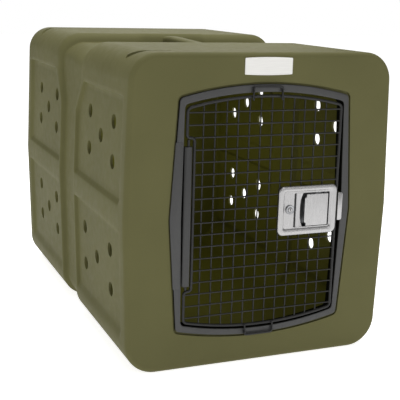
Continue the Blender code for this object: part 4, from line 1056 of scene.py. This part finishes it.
class Look:
    """A Principled material and its node tree, with helpers for procedural detail."""

    def __init__(self, name, colour, roughness, metallic=0.0):
        self.material = bpy.data.materials.new(name)
        self.material.use_nodes = True
        self.tree = self.material.node_tree
        self.shader = self.tree.nodes["Principled BSDF"]
        self.colour = colour
        put(self.shader, {"Base Color": (*colour, 1.0), "Roughness": roughness,
                          "Metallic": metallic})
        self.place = self.node("TexCoord").outputs["Object"]
        self.last_bump = None

    def node(self, kind):
        return self.tree.nodes.new("ShaderNode" + kind)

    def link(self, output, target):
        self.tree.links.new(output, target)

    def noise(self, scale, detail=2.0, stretch=(1.0, 1.0, 1.0)):
        """Noise in the object's own coordinates; a small stretch draws it out along that axis."""
        mapping, node = self.node("Mapping"), self.node("TexNoise")
        put(mapping, {"Scale": stretch})
        put(node, {"Scale": scale, "Detail": detail})
        self.link(self.place, mapping.inputs["Vector"])
        self.link(mapping.outputs["Vector"], node.inputs["Vector"])
        return node.outputs["Fac"]

    def ranged(self, value, low, high, from_low=0.3, from_high=0.7):
        """A value's range from_low to from_high stretched to low to high, and held there."""
        node = self.node("MapRange")
        put(node, {"From Min": from_low, "From Max": from_high, "To Min": low, "To Max": high})
        self.link(value, node.inputs["Value"])
        return node.outputs["Result"]

    def tint(self, factor, other, base=None):
        """Colour the surface from the look's own colour, or a base, to another by a factor."""
        node = self.node("Mix")
        node.data_type = "RGBA"
        if base is None:
            put(node, {"A": (*self.colour, 1.0)})
        else:
            self.link(base, node.inputs["A"])
        put(node, {"B": (*other, 1.0)})
        self.link(factor, node.inputs["Factor"])
        self.link(node.outputs["Result"], self.shader.inputs["Base Color"])
        return node.outputs["Result"]

    def roughen(self, value, low, high):
        self.link(self.ranged(value, low, high), self.shader.inputs["Roughness"])

    def along_y(self, low, high, start, end):
        """A number that goes from low to high between two places along Y."""
        parts = self.node("SeparateXYZ")
        self.link(self.place, parts.inputs["Vector"])
        return self.ranged(parts.outputs["Y"], low, high, start, end)

    def darken_along_y(self, start, end, share):
        """Fade what shows of the colour to a share of it between two places along Y."""
        colour = self.shader.inputs["Base Color"].links[0].from_socket
        self.tint(self.along_y(0.0, 1.0, start, end), shade(self.colour, share), colour)

    def bump(self, height, distance):
        """Add a layer of relief over the last one."""
        node = self.node("Bump")
        put(node, {"Distance": distance})
        self.link(height, node.inputs["Height"])
        if self.last_bump is not None:
            self.link(self.last_bump, node.inputs["Normal"])
        self.link(node.outputs["Normal"], self.shader.inputs["Normal"])
        self.last_bump = node.outputs["Normal"]


def shade(colour, factor):
    return tuple(channel * factor for channel in colour)


def olive_polyethylene():
    """Rotomoulded plastic: faint cloudy tone, fine orange-peel grain, soft sheen."""
    colour = (0.109, 0.1045, 0.0455)
    look = Look("olive_polyethylene", colour, 0.55)
    cloud = look.ranged(look.noise(5.0, 3.0), 0.0, 1.0)
    base = look.tint(cloud, shade(colour, 1.12))
    speck = look.ranged(look.noise(900.0, 1.0), 0.0, 0.35, 0.55, 0.75)
    look.tint(speck, shade(colour, 0.75), base)
    look.roughen(look.noise(60.0, 4.0), 0.50, 0.62)
    look.bump(look.noise(6.0, 0.0), 0.0005)
    look.bump(look.noise(520.0, 2.0), 0.00004)
    put(look.shader, {"Specular IOR Level": 0.03})
    return look.material


def dark_grey_plastic():
    """Grained plastic of the ring and the post: painted shade darkens the sleeve and turns down
    its reflection, and the post is darker.
    """
    colour = (0.030, 0.030, 0.0295)
    look = Look("dark_grey_plastic", colour, 0.45)
    look.tint(look.ranged(look.noise(12.0, 3.0), 0.0, 1.0), shade(colour, 1.2))
    look.roughen(look.noise(150.0, 3.0), 0.38, 0.52)
    look.bump(look.noise(700.0, 2.0), 0.00008)
    # painted shade: the sleeve's inside fades to a fifth of the colour
    look.darken_along_y(*SLEEVE_PAINTED_SHADE, 0.2)
    look.darken_along_y(*POST_FADE, 0.72)
    # painted shade: the reflection also fades out into the sleeve
    sleeve_shade_specular = look.along_y(0.5, 0.0, *SLEEVE_PAINTED_SHADE)
    look.link(sleeve_shade_specular, look.shader.inputs["Specular IOR Level"])
    return look.material


def black_powder_coat():
    """Finely rough black coat."""
    colour = (0.011, 0.011, 0.011)
    look = Look("black_powder_coat", colour, 0.4)
    look.tint(look.ranged(look.noise(40.0, 3.0), 0.0, 1.0), shade(colour, 1.4))
    look.roughen(look.noise(200.0, 2.0), 0.34, 0.48)
    look.bump(look.noise(900.0, 2.0), 0.00010)
    put(look.shader, {"Specular IOR Level": 0.30})
    return look.material


def brushed_metal(name, colour, roughness, stretch):
    """Metal with fine lines along the axis that has the smallest stretch."""
    look = Look(name, colour, roughness, 1.0)
    lines = look.noise(500.0, 3.0, stretch)
    look.tint(look.ranged(lines, 0.0, 0.6), shade(colour, 0.88))
    look.roughen(look.noise(900.0, 2.0, stretch), roughness - 0.05, roughness + 0.08)
    look.bump(lines, 0.000015)
    return look.material


def badge_metal():
    """Pale satin plate."""
    colour = (0.78, 0.77, 0.74)
    look = Look("pale_plate", colour, 0.38, 0.35)
    look.tint(look.ranged(look.noise(600.0, 3.0, (0.05, 1.0, 1.0)), 0.0, 0.6), shade(colour, 0.9))
    look.bump(look.noise(500.0, 2.0, (0.05, 1.0, 1.0)), 0.00003)
    return look.material


# Stage

FLOOR_REACH = 14.0
FLOOR_Z = -0.0004
FLOOR_GLOW = 0.80
WORLD_LEVEL = 0.38  # what lights the scene; the camera sees the world at 1
# Name, place, what it points at, size, power
AREA_LIGHTS = (("top", (0.2, 0.3, 3.2), (0.0, 0.1, 0.6), 2.4, 92.0),
               ("left", (-3.2, FACE_Y - 0.2, 1.5), (0.0, 0.0, 0.35), 1.8, 7.0),
               ("back", (0.9, 3.0, 1.9), (0.0, 0.0, 0.65), 2.2, 17.0),
               ("front", (0.9, FACE_Y - 3.2, 1.7), (0.0, FACE_Y, 0.35), 1.6, 16.0))
CABIN_LIGHT_SHARES = (0.26, 0.48, 0.70, 0.90)  # of the body's length
CABIN_LIGHT_Z = 0.33
CABIN_LIGHT_SIZE = 0.10
CABIN_LIGHT_POWER = 0.37
CABIN_LIGHT_COLOUR = (1.0, 1.0, 0.24)
CAMERA_PLACE = (-0.8222, FACE_Y - 1.6444, 0.7757)
CAMERA_LENS = 80.5
CAMERA_YAW, CAMERA_PITCH, CAMERA_ROLL = -22.633, -12.532, 3.521


def stage():
    """Plain pale floor, even white world and the lights."""
    mesh = bpy.data.meshes.new("floor")
    corners = [(x * FLOOR_REACH, y * FLOOR_REACH, FLOOR_Z)
               for x, y in ((-1, -1), (1, -1), (1, 1), (-1, 1))]
    mesh.from_pydata(corners, [], [(0, 1, 2, 3)])
    floor = add_object("floor", mesh)
    look = Look("pale_floor", (0.80, 0.80, 0.80), 0.9)
    put(look.shader, {"Specular IOR Level": 0.0, "Emission Color": (1.0, 1.0, 1.0, 1.0),
                      "Emission Strength": FLOOR_GLOW})
    mesh.materials.append(look.material)
    world = bpy.data.worlds.new("studio")
    bpy.context.scene.world = world
    world.use_nodes = True
    nodes, links = world.node_tree.nodes, world.node_tree.links
    background = nodes["Background"]
    put(background, {"Color": (1.0, 1.0, 1.0, 1.0)})
    seen = nodes.new("ShaderNodeLightPath")
    level = nodes.new("ShaderNodeMapRange")
    put(level, {"To Min": WORLD_LEVEL, "To Max": 1.0})
    links.new(seen.outputs["Is Camera Ray"], level.inputs["Value"])
    links.new(level.outputs["Result"], background.inputs["Strength"])
    for light in AREA_LIGHTS:
        area_light(*light)
    for number, share in enumerate(CABIN_LIGHT_SHARES, start=1):
        cabin_light(f"cabin_{number}", LENGTH * share)


def lamp(name, kind, place, power):
    item = add_object(name, bpy.data.lights.new(name, kind))
    item.location = place
    item.data.energy = power
    return item


def area_light(name, place, target, size, power):
    item = lamp(name, "AREA", place, power)
    item.data.shape = "SQUARE"
    item.data.size = size
    aim = Vector(target) - Vector(place)
    item.rotation_euler = aim.to_track_quat("-Z", "Y").to_euler()


def cabin_light(name, depth):
    """Faint olive light in the cabin, for what the translucent walls let through."""
    item = lamp(name, "POINT", (0.0, FACE_Y + depth, CABIN_LIGHT_Z), CABIN_LIGHT_POWER)
    item.data.color = CABIN_LIGHT_COLOUR
    item.data.shadow_soft_size = CABIN_LIGHT_SIZE
    item.visible_camera = False
    item.visible_glossy = False


def camera():
    """Long lens from the front, left and slightly above."""
    data = bpy.data.cameras.new("camera")
    data.sensor_width = 36.0
    data.lens = CAMERA_LENS
    data.clip_start = 0.05
    item = add_object("camera", data)
    turns = ((CAMERA_ROLL, "Y"), (CAMERA_PITCH, "X"), (CAMERA_YAW, "Z"), (90.0, "X"))
    place = Matrix.Translation(CAMERA_PLACE)
    for angle, axis in turns:
        place = place @ Matrix.Rotation(math.radians(angle), 4, axis)
    item.matrix_world = place
    bpy.context.scene.camera = item


looks = {
    "olive_polyethylene": olive_polyethylene(),
    "dark_grey_plastic": dark_grey_plastic(),
    "black_powder_coat": black_powder_coat(),
    "brushed_stainless": brushed_metal("brushed_stainless", (0.395, 0.39, 0.39), 0.28,
                                       (1.0, 1.0, 0.05)),
    "zinc_plate": brushed_metal("zinc_plate", (0.36, 0.365, 0.375), 0.38, (1.0, 1.0, 1.0)),
    "pale_plate": badge_metal()}
for entry in frame["record"]["subparts"]:
    cad_mesh = frame["nodes"][entry["node"]].data
    cad_mesh.materials.clear()
    cad_mesh.materials.append(looks[entry["material_slot"]])

body_piece()
ring_piece()
post_piece()
badge_piece()
strike_piece()
rod_piece()
mesh_piece()
loop_piece("top_loop", "top_stop_loop", TOP_LOOP_Z)
loop_piece("bottom_loop", "bottom_stop_loop", BOTTOM_LOOP_Z)
pin_piece("upper_pin", "hinge_pin_upper")
pin_piece("lower_pin", "hinge_pin_lower")
latch_plate_piece()
well_lining()
paddle_piece()
lock_pieces()

stage()
camera()
bpy.context.scene.view_settings.view_transform = "Standard"
